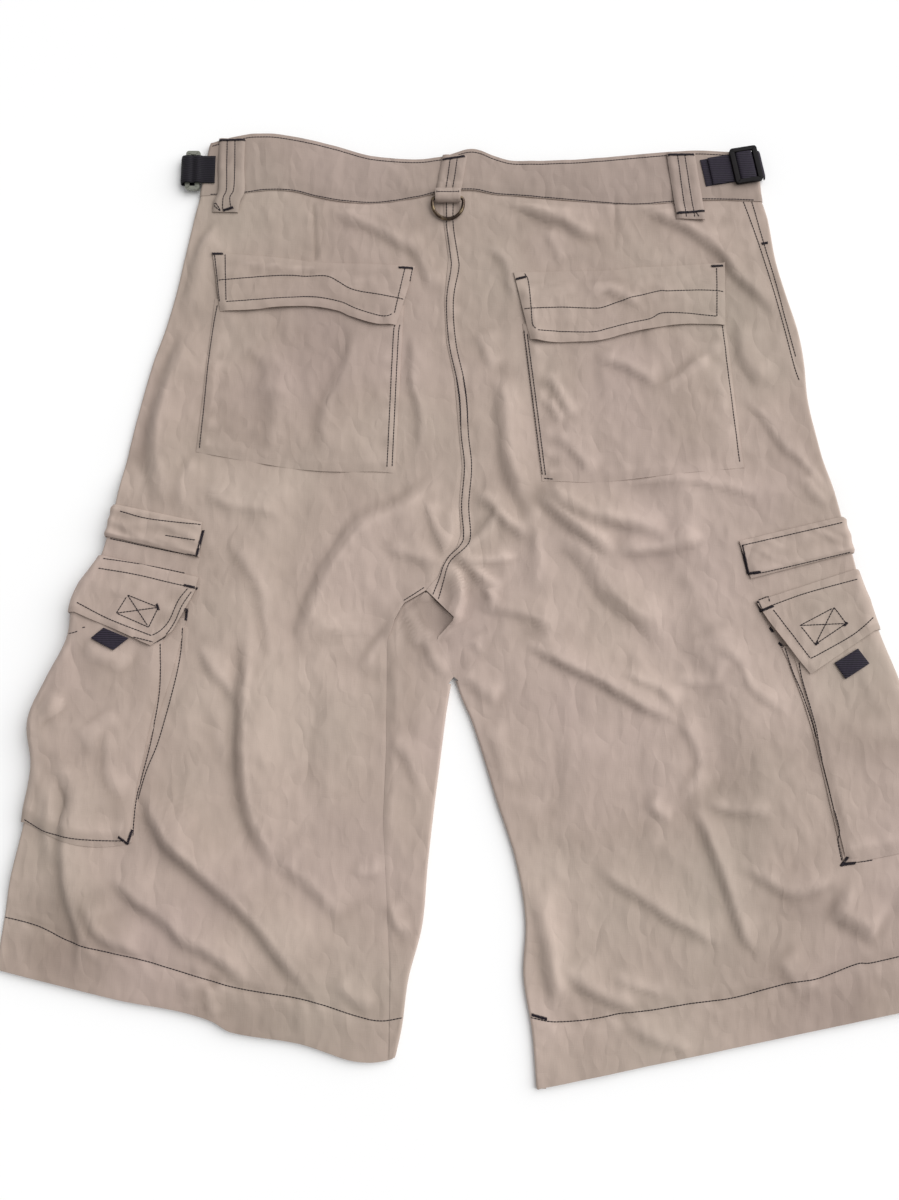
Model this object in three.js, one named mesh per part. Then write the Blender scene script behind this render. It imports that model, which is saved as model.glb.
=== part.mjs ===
// Cargo shorts laid flat with the back up: waist towards +Y, hems towards -Y, cloth lying on z = 0.
import * as THREE from 'three';

// Sizes in millimetres
const wall = 1.2;              // one layer of cloth
const bandProud = 0.8;         // how far the folded waistband stands over the panels
const seam = 0.3;              // clearance between pieces at a seam
const waistSeam = 0.8;         // clearance under the waistband, whose edge is wavy
const ply = 0.6;               // clearance between a piece and the cloth it lies on
const puff = 1.8;              // air between the back and the front
const middle = 4;              // moves the middle of the whole length to the origin
const webbingWall = 1.3;
const loopThick = 1.6;         // a belt loop is folded double
const pullTabThick = 1.4;
const flyWall = 0.9;
const flyRise = 0.5;           // clearance between the fly and the front
const flyCorner = 14;          // cut off its lower outer corner
const leftOutseamUnder = 40;   // the left back panel runs this far round to the underside
const rightOutseamUnder = 4;
const innerUnder = 5;          // and the right one this far under at the inner edge of the leg
const bandTurnUnder = 8;       // the back of the waistband turns under at the sides
const bandFrontDrop = 8;       // how far the front of the waistband lies below the back's top edge
const gussetWall = 1;
const pocketRise = ply + gussetWall + ply;        // underside of a cargo pocket over the leg
const flapRise = pocketRise + wall + ply;         // underside of a cargo flap over the leg
const wrapSteps = 4;           // facets round a side edge
const rowsBelow = 13;          // hem to the top of the gap between the legs
const rowsCrotch = 5;          // up to the point where the four seams meet
const rowsAbove = 16;          // up to the waist seam
const crotchY = -86;           // top of the gap between the legs
const meetEdgeY = -14;         // where the row through the meeting seams reaches the side edges
const hemEdgeY = { left: -303, right: -324 };    // hem corners at the side edges
const rightHemInnerY = -384;
const middleX = -14;           // middle seam of the front, and the divide between the halves
const waistSideX = 240;        // where the waist seam and the waistband are read for a side edge
const bandSideX = 235;

const khaki = 0xae9e94;
const shadeKhaki = 0xa8988f;
const navy = 0x2b2535;
const blackPlastic = 0x17141a;
const smokePlastic = 0x8b8d83;
const bronze = 0x4a3a2a;

// Side edges of the body, as distances out from the centre line
const sideEdge = [
  { y: -380, left: 354, right: 353 }, { y: -310, left: 350, right: 350 },
  { y: -240, left: 343, right: 346 }, { y: -190, left: 334, right: 343 },
  { y: -150, left: 328.5, right: 340 }, { y: -116, left: 332.5, right: 335.5 },
  { y: -86, left: 321, right: 328 }, { y: -54, left: 306.5, right: 317 },
  { y: -23, left: 303, right: 308.5 }, { y: 9, left: 288, right: 303 },
  { y: 41, left: 280, right: 296 }, { y: 74, left: 274.5, right: 289 },
  { y: 107, left: 269, right: 282 }, { y: 141, left: 262, right: 276 },
  { y: 175, left: 254, right: 274.5 }, { y: 201, left: 246, right: 271 },
  { y: 232, left: 238.5, right: 263 }, { y: 262, left: 233, right: 256 },
  { y: 297, left: 226.5, right: 251.5 }, { y: 318, left: 222, right: 246.5 },
  { y: 350, left: 217, right: 245 }, { y: 380, left: 212, right: 243 },
];

// Inner edges of the two legs, below the top of the gap between them
const innerEdge = [
  { y: -390, left: -58, right: 50 }, { y: -345, left: -49, right: 47 },
  { y: -305, left: -44, right: 41 }, { y: -265, left: -34, right: 43 },
  { y: -221, left: -30, right: 36 }, { y: -177, left: -25, right: 22 },
  { y: -147, left: -21, right: 13 }, { y: -116, left: -17, right: 3 },
  { y: -100, left: -14.5, right: -4 }, { y: -86, left: -12, right: -9 },
];

// Seam lines on the back, from the bottom up
const leftInseam = [
  { x: -58, y: -367.5 }, { x: -58, y: -300 }, { x: -62, y: -224 }, { x: -64, y: -193 },
  { x: -62, y: -139 }, { x: -62, y: -88 },
];
const leftCrotch = [
  { x: -62, y: -88 }, { x: -62, y: -72 }, { x: -62, y: -56 }, { x: -57, y: -42 },
  { x: -49, y: -29 }, { x: -30, y: -24 },
];
const rightCrotch = [
  { x: -9, y: -86 }, { x: -16, y: -70 }, { x: -23, y: -54 }, { x: -10, y: -41 },
  { x: -16, y: -31 }, { x: -30, y: -24 },
];
const centreBack = [
  { x: -30, y: -24 }, { x: -22.5, y: -4 }, { x: -18, y: 8 }, { x: -8, y: 19 },
  { x: -4.5, y: 30 }, { x: -6, y: 54 }, { x: -3.5, y: 85 }, { x: -6, y: 112 },
  { x: -9.5, y: 158 }, { x: -16, y: 190 }, { x: -18, y: 226 }, { x: -14.5, y: 264 },
  { x: -18, y: 292 }, { x: -19, y: 322 },
];

// The left hem waves: how far it stands above a straight line, dying out a few rows up
const hemWave = [
  { x: -354, up: 3 }, { x: -298, up: 2 }, { x: -253, up: 1.7 }, { x: -212, up: 3.7 },
  { x: -188, up: 1.9 }, { x: -174, up: -2.4 }, { x: -123, up: 0.7 }, { x: -88, up: -2.6 },
  { x: -72, up: -1 }, { x: -60, up: 3 }, { x: -52, up: 7 },
];
const hemWaveRows = 4;

// Waistband edges on the back, across the body
const waistLines = [
  { x: -224, bottom: 319, top: 364 }, { x: -189, bottom: 321, top: 374 },
  { x: -165, bottom: 324, top: 376 }, { x: -144, bottom: 323, top: 373 },
  { x: -125, bottom: 318, top: 368.5 }, { x: -105, bottom: 314, top: 363 },
  { x: -78, bottom: 312, top: 355 }, { x: -42, bottom: 316, top: 351 },
  { x: -20, bottom: 321, top: 353.5 }, { x: 6, bottom: 323, top: 361 },
  { x: 24, bottom: 320, top: 355 }, { x: 40, bottom: 319, top: 351 },
  { x: 94, bottom: 314, top: 352 }, { x: 147, bottom: 311, top: 357 },
  { x: 195, bottom: 315, top: 360 }, { x: 250, bottom: 314, top: 356 },
];

// Large folds of the back, each a soft ridge between two points
const folds = [
  { x0: -162, y0: -10, x1: -158, y1: -215, bow: 6, width: 15, height: 5 },
  { x0: -243, y0: -165, x1: -112, y1: -312, bow: -10, width: 14, height: 5 },
  { x0: -268, y0: -228, x1: -160, y1: -306, bow: -8, width: 13, height: 3.5 },
  { x0: -92, y0: 38, x1: -25, y1: 78, bow: 6, width: 12, height: 3 },
  { x0: -42, y0: -60, x1: -42, y1: -250, bow: 5, width: 13, height: 3 },
  { x0: 58, y0: 62, x1: 190, y1: 25, bow: -10, width: 14, height: 4 },
  { x0: 97, y0: 5, x1: 160, y1: -60, bow: 5, width: 13, height: 3 },
  { x0: 48, y0: -58, x1: 166, y1: -116, bow: -5, width: 12, height: 3.5 },
  { x0: 172, y0: -178, x1: 226, y1: -290, bow: -7, width: 12, height: 4 },
  { x0: 104, y0: -228, x1: 200, y1: -280, bow: -6, width: 12, height: 3 },
  { x0: 165, y0: -112, x1: 168, y1: -172, bow: 6, width: 12, height: 2.5 },
  { x0: 166, y0: 305, x1: 252, y1: 205, bow: 6, width: 13, height: 2.5 },
  { x0: 15, y0: 316, x1: 100, y1: 276, bow: 4, width: 12, height: 2.5 },
  { x0: 118, y0: 44, x1: 240, y1: 32, bow: 4, width: 13, height: 1.6 },
  { x0: 226, y0: 140, x1: 286, y1: 62, bow: 5, width: 12, height: 2 },
  { x0: -10, y0: 14, x1: 42, y1: 6, bow: 2, width: 11, height: 3 },
  { x0: -8, y0: 2, x1: -10, y1: -46, bow: 8, width: 9, height: 4 },
  { x0: -246, y0: 205, x1: -236, y1: 62, bow: 3, width: 11, height: 2 },
];

// Sewn pieces on the back, as their corners seen from above
const backPockets = {
  left: { topInner: [-51, 222], topOuter: [-206, 228], lowOuter: [-216, 97], lowInner: [-57, 80] },
  right: { topInner: [46, 206], topOuter: [211, 214], lowOuter: [221, 84], lowInner: [60, 73] },
};
const backFlaps = {
  left: { topInner: [-42, 256], topOuter: [-209, 268], lowOuter: [-201, 216], lowInner: [-57, 204], arch: 9 },
  right: { topInner: [39, 250], topOuter: [213, 259], lowOuter: [211, 204], lowInner: [52, 192], wave: -6 },
};
const beltLoops = [
  { name: 'belt_loop_left', top: [-196, 370], bottom: [-199, 304], wide: 22 },
  { name: 'belt_loop_centre', top: [-9, 354], bottom: [-15, 318.8], wide: 21 },
  { name: 'belt_loop_right', top: [180, 357], bottom: [186, 296], wide: 24 },
];

// Pieces that run round a side edge. x and y are on the back, edgeY is the height where the
// same line meets the side edge, and the line turns back under by the same slope.
const cargo = {
  left: {
    band: { under: 70, rows: [{ x: 209, y: 10, edgeY: 27 }, { x: 208, y: 38, edgeY: 53 }] },
    pocket: { under: 92, sag: 9, rows: [
      { x: 254, y: -209, edgeY: -192 }, { x: 250, y: -166, edgeY: -150 },
      { x: 243, y: -128, edgeY: -110 }, { x: 237, y: -98, edgeY: -80 },
      { x: 235, y: -62, edgeY: -46 }, { x: 233, y: -42, edgeY: -24 } ] },
    flap: { under: 92, rows: [
      { x: 243, y: -60, edgeY: -33 }, { x: 227, y: -49, edgeY: -22 }, { x: 219, y: -34, edgeY: -10 },
      { x: 211, y: -17, edgeY: 3 }, { x: 209, y: -6, edgeY: 12 } ] },
    gusset: [
      { x0: 252, x1: 264, y: -208 }, { x0: 246, x1: 258, y: -146 }, { x0: 237, x1: 252, y: -116 },
      { x0: 228, x1: 248, y: -86 }, { x0: 219.5, x1: 246, y: -50 }, { x0: 217, x1: 244, y: -38 } ],
    tab: [[-262, -56], [-280, -47.5], [-289, -55], [-272, -65]],
  },
  right: {
    band: { under: 70, rows: [{ x: 221, y: -7, edgeY: 14 }, { x: 213, y: 23, edgeY: 43 }] },
    pocket: { under: 92, rows: [
      { x: 283, y: -224, edgeY: -212 }, { x: 275, y: -180, edgeY: -168 },
      { x: 266, y: -135, edgeY: -118 }, { x: 259, y: -100, edgeY: -80 },
      { x: 252, y: -72, edgeY: -50 }, { x: 248, y: -56, edgeY: -34 } ] },
    flap: { under: 92, rows: [
      { x: 262, y: -82, edgeY: -47 }, { x: 253, y: -70, edgeY: -35 }, { x: 244, y: -57, edgeY: -23 },
      { x: 233, y: -41, edgeY: -11 }, { x: 224, y: -25, edgeY: 1 } ] },
    gusset: [
      { x0: 281, x1: 292, y: -222 }, { x0: 275, x1: 286, y: -190 }, { x0: 265, x1: 278, y: -136 },
      { x0: 257, x1: 270, y: -104 }, { x0: 247, x1: 262, y: -72 }, { x0: 242, x1: 258, y: -60 } ],
    tab: [[280.5, -73.5], [299, -62.5], [307, -74], [288, -86]],
  },
};

// Webbing adjusters: where each starts on the band, its slant, and its run outwards as distances
// along the band and heights over its start. The frame is the slide buckle round or under it.
const webbing = 24.5;
const adjusters = {
  left: { x: -209.4, y: 342, turn: 0, run: [
    { out: 0, up: 0 }, { out: 12, up: 0 }, { out: 25.5, up: 0 }, { out: 27.6, up: -0.8 },
    { out: 28.3, up: -2.4 }, { out: 27.6, up: -4 }, { out: 25.5, up: -4.8 }, { out: 15, up: -4.8 } ],
  frame: { from: 13, to: 25, tall: 35, low: -3.9, colour: smokePlastic } },
  right: { x: 198, y: 338.5, turn: 0.17, run: [
    { out: 0, up: 0 }, { out: 29.3, up: 0 }, { out: 32.8, up: 2.8 }, { out: 39, up: 2.8 },
    { out: 42.6, up: 0 }, { out: 48.5, up: 0 }, { out: 50.4, up: -1 }, { out: 50.8, up: -5 } ],
  frame: { from: 24.5, to: 47.5, tall: 31.5, low: 1, colour: blackPlastic } },
};
const buckleThick = 3;
const buckleBar = 3.8;
const buckleEnd = 2.8;
const buckleCorner = 2.5;

const ring = { x: -15, barY: 314, curveY: 309.5, radius: 12.8, corner: 3, wire: 2.9 };
const ringTab = { x: -15, wide: 21, wall: 2.2, clearance: 0.35 };
const fly = { x0: -56, x1: -16, y0: 150, y1: 296 };
const button = { x: -22, y: 331, radius: 8.5, thick: 1.7 };

const lerp = (a, b, t) => a + (b - a) * t;
const clamp01 = (t) => Math.min(1, Math.max(0, t));
const ease = (t) => clamp01(t) ** 2 * (3 - 2 * clamp01(t));
const range = (count) => Array.from({ length: count }, (_, i) => i);

// Smooth curve through a table: value of a column at a key
function follow(table, key, at, column) {
  const last = table.length - 2;
  let i = 0;
  while (i < last && at > table[i + 1][key]) i += 1;
  const [a, b] = [table[i], table[i + 1]];
  const before = table[Math.max(0, i - 1)];
  const after = table[Math.min(table.length - 1, i + 2)];
  const span = b[key] - a[key];
  const slopeA = (b[column] - before[column]) / (b[key] - before[key]);
  const slopeB = (after[column] - a[column]) / (after[key] - a[key]);
  const t = clamp01((at - a[key]) / span);
  const bend = (slopeA * span * (1 - t) - slopeB * span * t) * t * (1 - t);
  const straight = lerp(a[column], b[column], ease(t));
  return straight + bend;
}

// Point at a fraction of the way along a chain of points
function along(points, t) {
  const lengths = points.slice(1).map((p, i) => Math.hypot(p.x - points[i].x, p.y - points[i].y));
  let left = clamp01(t) * lengths.reduce((sum, d) => sum + d, 0);
  let i = 0;
  while (i < lengths.length - 1 && left > lengths[i]) {
    left -= lengths[i];
    i += 1;
  }
  const f = Math.min(1, left / lengths[i]);
  return { x: lerp(points[i].x, points[i + 1].x, f), y: lerp(points[i].y, points[i + 1].y, f) };
}

const outward = (side) => (side === 'left' ? -1 : 1);
const edgeAt = (side, y) => follow(sideEdge, 'y', y, side);
const innerAt = (side, y) => follow(innerEdge, 'y', y, side);
const waistAt = (x, line) => follow(waistLines, 'x', x, line);
const waistSeamAt = (x) => waistAt(x, 'bottom') - waistSeam;
const sideOf = (x) => (x < middleX ? 'left' : 'right');

// Height of the front layer's underside: it rides over what is sewn to the front
const underRows = [
  { y: -264, sides: 0 }, { y: -232, sides: 3.8 }, { y: -152, sides: 3.8 }, { y: -116, sides: 5.6 },
  { y: 60, sides: 5.6 }, { y: 96, sides: 0 }, { y: 400, sides: 0 },
];

const underFar = { reach: 158, fade: 42 };      // in from the side edges, past the cargo pieces
const overBand = { start: 290, fade: 18 };      // the waistband stands proud underneath too
const buttonBump = { high: 2.1, reach: 64, fade: 52 };
const flyBump = { high: 1.5, margin: 25, fade: 20 };

function stepped(table, at, column) {
  const i = Math.max(1, table.findIndex((row) => row.y > at));
  const [a, b] = [table[i - 1], table[i]];
  return lerp(a[column], b[column], ease((at - a.y) / (b.y - a.y)));
}

function lift(x, y) {
  const inFromEdge = edgeAt(sideOf(x), y) - Math.abs(x);
  const sides = stepped(underRows, y, 'sides') * ease((underFar.reach - inFromEdge) / underFar.fade);
  const band = bandProud * ease((y - overBand.start) / overBand.fade);
  const fromButton = Math.hypot(x - button.x, y - button.y);
  const overButton = buttonBump.high * ease((buttonBump.reach - fromButton) / buttonBump.fade);
  return sides + band + overButton;
}

// The fly lifts only the front, into the air between the layers
function frontLift(x, y) {
  const { high, margin, fade } = flyBump;
  const flyIn = ease((x - fly.x0 + margin) / fade) * ease((fly.x1 + fade - x) / fade);
  const flyUp = ease((y - fly.y0 + margin) / fade) * ease((fly.y1 + fade - y) / fade);
  return lift(x, y) + high * flyIn * flyUp;
}

function foldHeight(fold, x, y) {
  const run = Math.hypot(fold.x1 - fold.x0, fold.y1 - fold.y0);
  const [dx, dy] = [(fold.x1 - fold.x0) / run, (fold.y1 - fold.y0) / run];
  const t = ((x - fold.x0) * dx + (y - fold.y0) * dy) / run;
  const across = (x - fold.x0) * dy - (y - fold.y0) * dx - fold.bow * 4 * t * (1 - t);
  const fade = ease((t + 0.15) / 0.4) * ease((1.15 - t) / 0.4);
  return fold.height * fade * Math.exp(-((across / fold.width) ** 2));
}

// Folds die out towards the edges
const flatEdge = 4;
const flatEdgeFade = 26;

// Height of the back's outer face
function backTop(x, y) {
  const side = sideOf(x);
  const toGap = y < crotchY ? Math.abs(x - innerAt(side, y)) : Infinity;
  const nearest = Math.min(edgeAt(side, y) - Math.abs(x), toGap);
  const open = ease((nearest - flatEdge) / flatEdgeFade);
  const rise = folds.reduce((sum, fold) => sum + foldHeight(fold, x, y), 0);
  return lift(x, y) + 2 * wall + puff + open * rise;
}

// A place on the cloth, n out of its outer face: on the back, round an edge, or underneath
function onBack(x, y, n) {
  return [x, y + middle, backTop(x, y) + n];
}

function onUnder(x, y, n) {
  return [x, y + middle, frontLift(x, y) - n];
}

const edgeRadius = wall + puff / 2;

function roundEdge(edgeX, way, y, turn, n) {
  const centreX = edgeX - way * edgeRadius;
  const centreZ = lift(centreX, y) + edgeRadius;
  const r = edgeRadius + n;
  return [centreX + way * r * Math.sin(turn), y + middle, centreZ + r * Math.cos(turn)];
}

// A closed wall between two faces of a grid of places. place(i, j, n) gives the point, n0 and n1
// the inner and outer offsets, and skip leaves cells out.
function cloth(name, colour, rows, columns, place, n0 = -wall, n1 = 0, skip = () => false) {
  const positions = [];
  const indices = [];
  const id = (i, j, face) => (i * (columns + 1) + j) * 2 + face;
  for (const i of range(rows + 1)) {
    for (const j of range(columns + 1)) {
      const low = typeof n0 === 'function' ? n0(i, j) : n0;
      const high = typeof n1 === 'function' ? n1(i, j) : n1;
      positions.push(...place(i, j, low), ...place(i, j, high));
    }
  }
  const borders = new Map();
  const border = (a, b) => {
    const back = `${b[0]},${b[1]}>${a[0]},${a[1]}`;
    if (borders.has(back)) borders.delete(back);
    else borders.set(`${a[0]},${a[1]}>${b[0]},${b[1]}`, [a, b]);
  };
  for (const i of range(rows)) {
    for (const j of range(columns)) {
      if (skip(i, j)) continue;
      const [a, b, c, d] = [[i, j], [i, j + 1], [i + 1, j + 1], [i + 1, j]];
      indices.push(id(...a, 1), id(...b, 1), id(...c, 1), id(...a, 1), id(...c, 1), id(...d, 1));
      indices.push(id(...a, 0), id(...c, 0), id(...b, 0), id(...a, 0), id(...d, 0), id(...c, 0));
      [[a, b], [b, c], [c, d], [d, a]].forEach(([p, q]) => border(p, q));
    }
  }
  for (const [p, q] of borders.values()) {
    indices.push(id(...p, 0), id(...q, 0), id(...q, 1), id(...p, 0), id(...q, 1), id(...p, 1));
  }
  return solid(name, colour, positions, indices);
}

// Mesh of a closed surface, turned so that its faces point out
function solid(name, colour, positions, indices, roughness = 0.85, metalness = 0) {
  const used = new Map();
  const packed = [];
  const remapped = indices.map((index) => {
    if (!used.has(index)) {
      used.set(index, used.size);
      packed.push(...positions.slice(index * 3, index * 3 + 3));
    }
    return used.get(index);
  });
  const point = (k) => new THREE.Vector3(...packed.slice(k * 3, k * 3 + 3));
  let volume = 0;
  for (let k = 0; k < remapped.length; k += 3) {
    const [a, b, c] = [point(remapped[k]), point(remapped[k + 1]), point(remapped[k + 2])];
    volume += a.dot(b.cross(c));
  }
  if (volume < 0) remapped.reverse();
  const geometry = new THREE.BufferGeometry();
  geometry.setAttribute('position', new THREE.Float32BufferAttribute(packed, 3));
  geometry.setIndex(remapped);
  geometry.computeVertexNormals();
  const material = new THREE.MeshStandardMaterial({ color: colour, roughness, metalness });
  const mesh = new THREE.Mesh(geometry, material);
  mesh.name = name;
  return mesh;
}

const totalRows = rowsBelow + rowsCrotch + rowsAbove;

// Rows of one half: the seam point on the back and the height where the row meets the side edge
function bodyRow(side, i) {
  if (i <= rowsBelow) {
    const t = i / rowsBelow;
    const rightY = lerp(rightHemInnerY, crotchY, t);
    const start = side === 'left' ? along(leftInseam, t) : { x: innerAt('right', rightY), y: rightY };
    const hem = side === 'left' ? clamp01(1 - i / hemWaveRows) ** 2 : 0;
    return { ...start, edgeY: lerp(hemEdgeY[side], crotchY, t), wave: 0, hem };
  }
  if (i <= rowsBelow + rowsCrotch) {
    const step = i - rowsBelow;
    const start = (side === 'left' ? leftCrotch : rightCrotch)[step];
    return { ...start, edgeY: lerp(crotchY, meetEdgeY, step / rowsCrotch), wave: 0, hem: 0 };
  }
  const t = (i - rowsBelow - rowsCrotch) / rowsAbove;
  const start = along(centreBack, t);
  const edgeY = lerp(meetEdgeY, waistSeamAt(outward(side) * waistSideX), t);
  return { ...start, edgeY, wave: t ** 2, hem: 0 };
}

// Height of a row at a place across the half, following the waist seam near the top
function rowY(side, row, x) {
  const edgeX = outward(side) * edgeAt(side, row.edgeY);
  const y = lerp(row.y, row.edgeY, (x - row.x) / (edgeX - row.x));
  if (row.wave === 0) return y + row.hem * follow(hemWave, 'x', x, 'up');
  const top = centreBack.at(-1);
  const seamEnd = waistSeamAt(outward(side) * waistSideX);
  const straight = lerp(top.y, seamEnd, (x - top.x) / (edgeX - top.x));
  return y + row.wave * (waistSeamAt(x) - straight);
}

// Place round the side edge of a half: columns over the back, round the edge and underneath
function roundSide(side, row, yOf, j, columns, n) {
  const way = outward(side);
  const edgeX = way * edgeAt(side, row.edgeY);
  const tangentX = edgeX - way * edgeRadius;
  if (j <= columns.back) {
    const x = lerp(row.x, tangentX, j / columns.back);
    return onBack(x, yOf(x), n);
  }
  if (j <= columns.back + wrapSteps) {
    return roundEdge(edgeX, way, yOf(tangentX), (Math.PI * (j - columns.back)) / wrapSteps, n);
  }
  const x = tangentX - (way * row.under * (j - columns.back - wrapSteps)) / columns.under;
  return onUnder(x, yOf(x), n);
}

function makeBackLeft() {
  const columns = { back: 14, under: 2 };
  const place = (i, j, n) => {
    const row = bodyRow('left', i);
    const cut = { ...row, x: row.x - seam / 2, under: leftOutseamUnder };
    return roundSide('left', cut, (x) => rowY('left', row, x), j, columns, n);
  };
  return cloth('back_left', khaki, totalRows, columns.back + wrapSteps + columns.under, place);
}

// The right back panel also turns under at the inner edge of the leg
function makeBackRight() {
  const columns = { back: 14, under: 1 };
  const inner = wrapSteps + 1;
  const place = (i, j, n) => {
    const row = bodyRow('right', i);
    const yOf = (x) => rowY('right', row, x);
    const onLeg = i <= rowsBelow;
    if (j < inner) {
      const edgeX = row.x + seam / 2;
      if (j === 0) return onUnder(edgeX + edgeRadius + innerUnder, yOf(edgeX), n);
      return roundEdge(edgeX, -1, yOf(edgeX), (Math.PI * (inner - j)) / wrapSteps, n);
    }
    const startX = row.x + seam / 2 + (onLeg ? edgeRadius : 0);
    const cut = { ...row, x: startX, under: rightOutseamUnder };
    return roundSide('right', cut, yOf, j - inner, columns, n);
  };
  const skip = (i, j) => i >= rowsBelow && j < inner;
  const count = inner + columns.back + wrapSteps + columns.under;
  return cloth('back_right', khaki, totalRows, count, place, -wall, 0, skip);
}

// The left front panel wraps the inner edge of the leg and shows on the back up to the inseam
function makeFrontLeft() {
  const back = 3;
  const under = [0, 0.07, 0.14, 0.21, 0.28, 0.37, 0.46, 0.55, 0.64, 0.76, 0.88, 1];
  const tongueEnd = [{ x: -9, y: -86 }, { x: -16, y: -70 }, { x: -23, y: -54 }, { x: -10, y: -41 },
    { x: -16, y: -31.5 }, { x: -28.5, y: -26 }];
  const place = (i, j, n) => {
    const row = bodyRow('left', i);
    const edgeX = innerAt('left', Math.min(row.y, crotchY)) - seam / 2;
    const yOf = (x) => rowY('left', row, x);
    if (j <= back) {
      if (i <= rowsBelow) {
        const x = lerp(row.x + seam / 2, edgeX - edgeRadius, j / back);
        return onBack(x, yOf(x), n);
      }
      const step = Math.min(i - rowsBelow, rowsCrotch);
      const start = step < rowsCrotch ? leftCrotch[step] : { x: -33, y: -26 };
      const end = tongueEnd[step];
      const x = lerp(start.x + seam / 2, end.x - seam / 2, j / back);
      return onBack(x, lerp(start.y - seam, end.y, j / back), n);
    }
    if (j < back + wrapSteps) {
      return roundEdge(edgeX, 1, yOf(edgeX), (Math.PI * (j - back)) / wrapSteps, n);
    }
    const outerX = -edgeAt('left', row.edgeY) + edgeRadius + leftOutseamUnder + seam;
    const innerX = i <= rowsBelow ? edgeX - edgeRadius : middleX - seam / 2;
    const x = lerp(innerX, outerX, under[j - back - wrapSteps]);
    return onUnder(x, yOf(x), n);
  };
  const skip = (i, j) => {
    if (i < rowsBelow || j >= back + wrapSteps) return false;
    return j >= back || i >= rowsBelow + rowsCrotch;
  };
  return cloth('front_left', khaki, totalRows, back + wrapSteps + under.length - 1, place, -wall, 0, skip);
}

function makeFrontRight() {
  const under = 10;
  const place = (i, j, n) => {
    const row = bodyRow('right', i);
    const yOf = (x) => rowY('right', row, x);
    const outerX = edgeAt('right', row.edgeY) - edgeRadius - rightOutseamUnder - seam;
    const legX = row.x + seam / 2 + edgeRadius + innerUnder + seam;
    const innerX = i <= rowsBelow ? legX : middleX + seam / 2;
    const x = lerp(outerX, innerX, j / under);
    return onUnder(x, yOf(x), n);
  };
  return cloth('front_right', khaki, totalRows, under, place);
}

// Waistband: a folded band, its back piece turning under at both sides
function makeWaistband() {
  const across = 28;
  const rows = 2;
  const total = across + 2 * (wrapSteps + 1);
  const place = (i, j, n) => {
    const t = i / rows;
    const yAt = (x) => lerp(waistAt(x, 'bottom'), waistAt(x, 'top'), t);
    const ends = ['left', 'right'].map((side) => {
      const way = outward(side);
      const edgeX = way * edgeAt(side, yAt(way * bandSideX));
      return { way, edgeX, tangentX: edgeX - way * edgeRadius };
    });
    const k = j - wrapSteps - 1;
    if (k >= 0 && k <= across) {
      const x = lerp(ends[0].tangentX, ends[1].tangentX, k / across);
      return onBack(x, yAt(x), n);
    }
    const end = k < 0 ? ends[0] : ends[1];
    const step = k < 0 ? -k : k - across;
    const y = yAt(end.tangentX);
    if (step <= wrapSteps) return roundEdge(end.edgeX, end.way, y, (Math.PI * step) / wrapSteps, n);
    return onUnder(end.tangentX - end.way * bandTurnUnder, y, n);
  };
  return cloth('waistband_back', shadeKhaki, rows, total, place, -wall, bandProud);
}

function makeWaistbandFront(side) {
  const across = 10;
  const rows = 2;
  const way = outward(side);
  const place = (i, j, n) => {
    const t = i / rows;
    const yAt = (x) => lerp(waistAt(x, 'bottom'), waistAt(x, 'top') - bandFrontDrop, t);
    const edgeY = lerp(waistAt(way * bandSideX, 'bottom'), waistAt(way * bandSideX, 'top'), t);
    const outerX = way * (edgeAt(side, edgeY) - edgeRadius - bandTurnUnder - seam);
    const innerX = middleX + (way * seam) / 2;
    const x = lerp(innerX, outerX, j / across);
    return onUnder(x, yAt(x), n);
  };
  return cloth(`waistband_front_${side}`, shadeKhaki, rows, across, place, -wall, bandProud);
}

// A flat piece sewn on the back between four corners
function makePatch(name, colour, corners, rows, columns, rise, thick) {
  const { topInner, topOuter, lowOuter, lowInner, arch = 0, wave = 0 } = corners;
  const place = (i, j, n) => {
    const [s, t] = [j / columns, i / rows];
    const x = lerp(lerp(lowInner[0], lowOuter[0], s), lerp(topInner[0], topOuter[0], s), t);
    const y = lerp(lerp(lowInner[1], lowOuter[1], s), lerp(topInner[1], topOuter[1], s), t);
    const bend = arch * Math.sin(Math.PI * s) + wave * Math.sin(2 * Math.PI * s);
    return onBack(x, y + (1 - t) * bend, n);
  };
  return cloth(name, colour, rows, columns, place, rise, (i, j) => rise(i, j) + thick);
}

function makeBackPocket(side) {
  return makePatch(`back_pocket_${side}`, khaki, backPockets[side], 7, 8, () => ply, wall);
}

function makeBackFlap(side) {
  const rows = 3;
  const high = ply + wall + ply;
  const rise = (i) => (i === rows ? ply : high);
  return makePatch(`back_flap_${side}`, khaki, backFlaps[side], rows, 9, rise, wall);
}

function makeBeltLoop(loop) {
  const half = loop.wide / 2;
  const corners = {
    topInner: [loop.top[0] - half, loop.top[1]], topOuter: [loop.top[0] + half, loop.top[1]],
    lowInner: [loop.bottom[0] - half, loop.bottom[1]], lowOuter: [loop.bottom[0] + half, loop.bottom[1]],
  };
  return makePatch(loop.name, shadeKhaki, corners, 4, 2, () => bandProud + ply, loopThick);
}

// A row between the rows of a table, by fraction of the way through it
function between(rows, t) {
  const at = clamp01(t) * (rows.length - 1);
  const i = Math.min(rows.length - 2, Math.floor(at));
  const mix = (column) => [column, lerp(rows[i][column], rows[i + 1][column], at - i)];
  return Object.fromEntries(Object.keys(rows[i]).map(mix));
}

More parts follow.
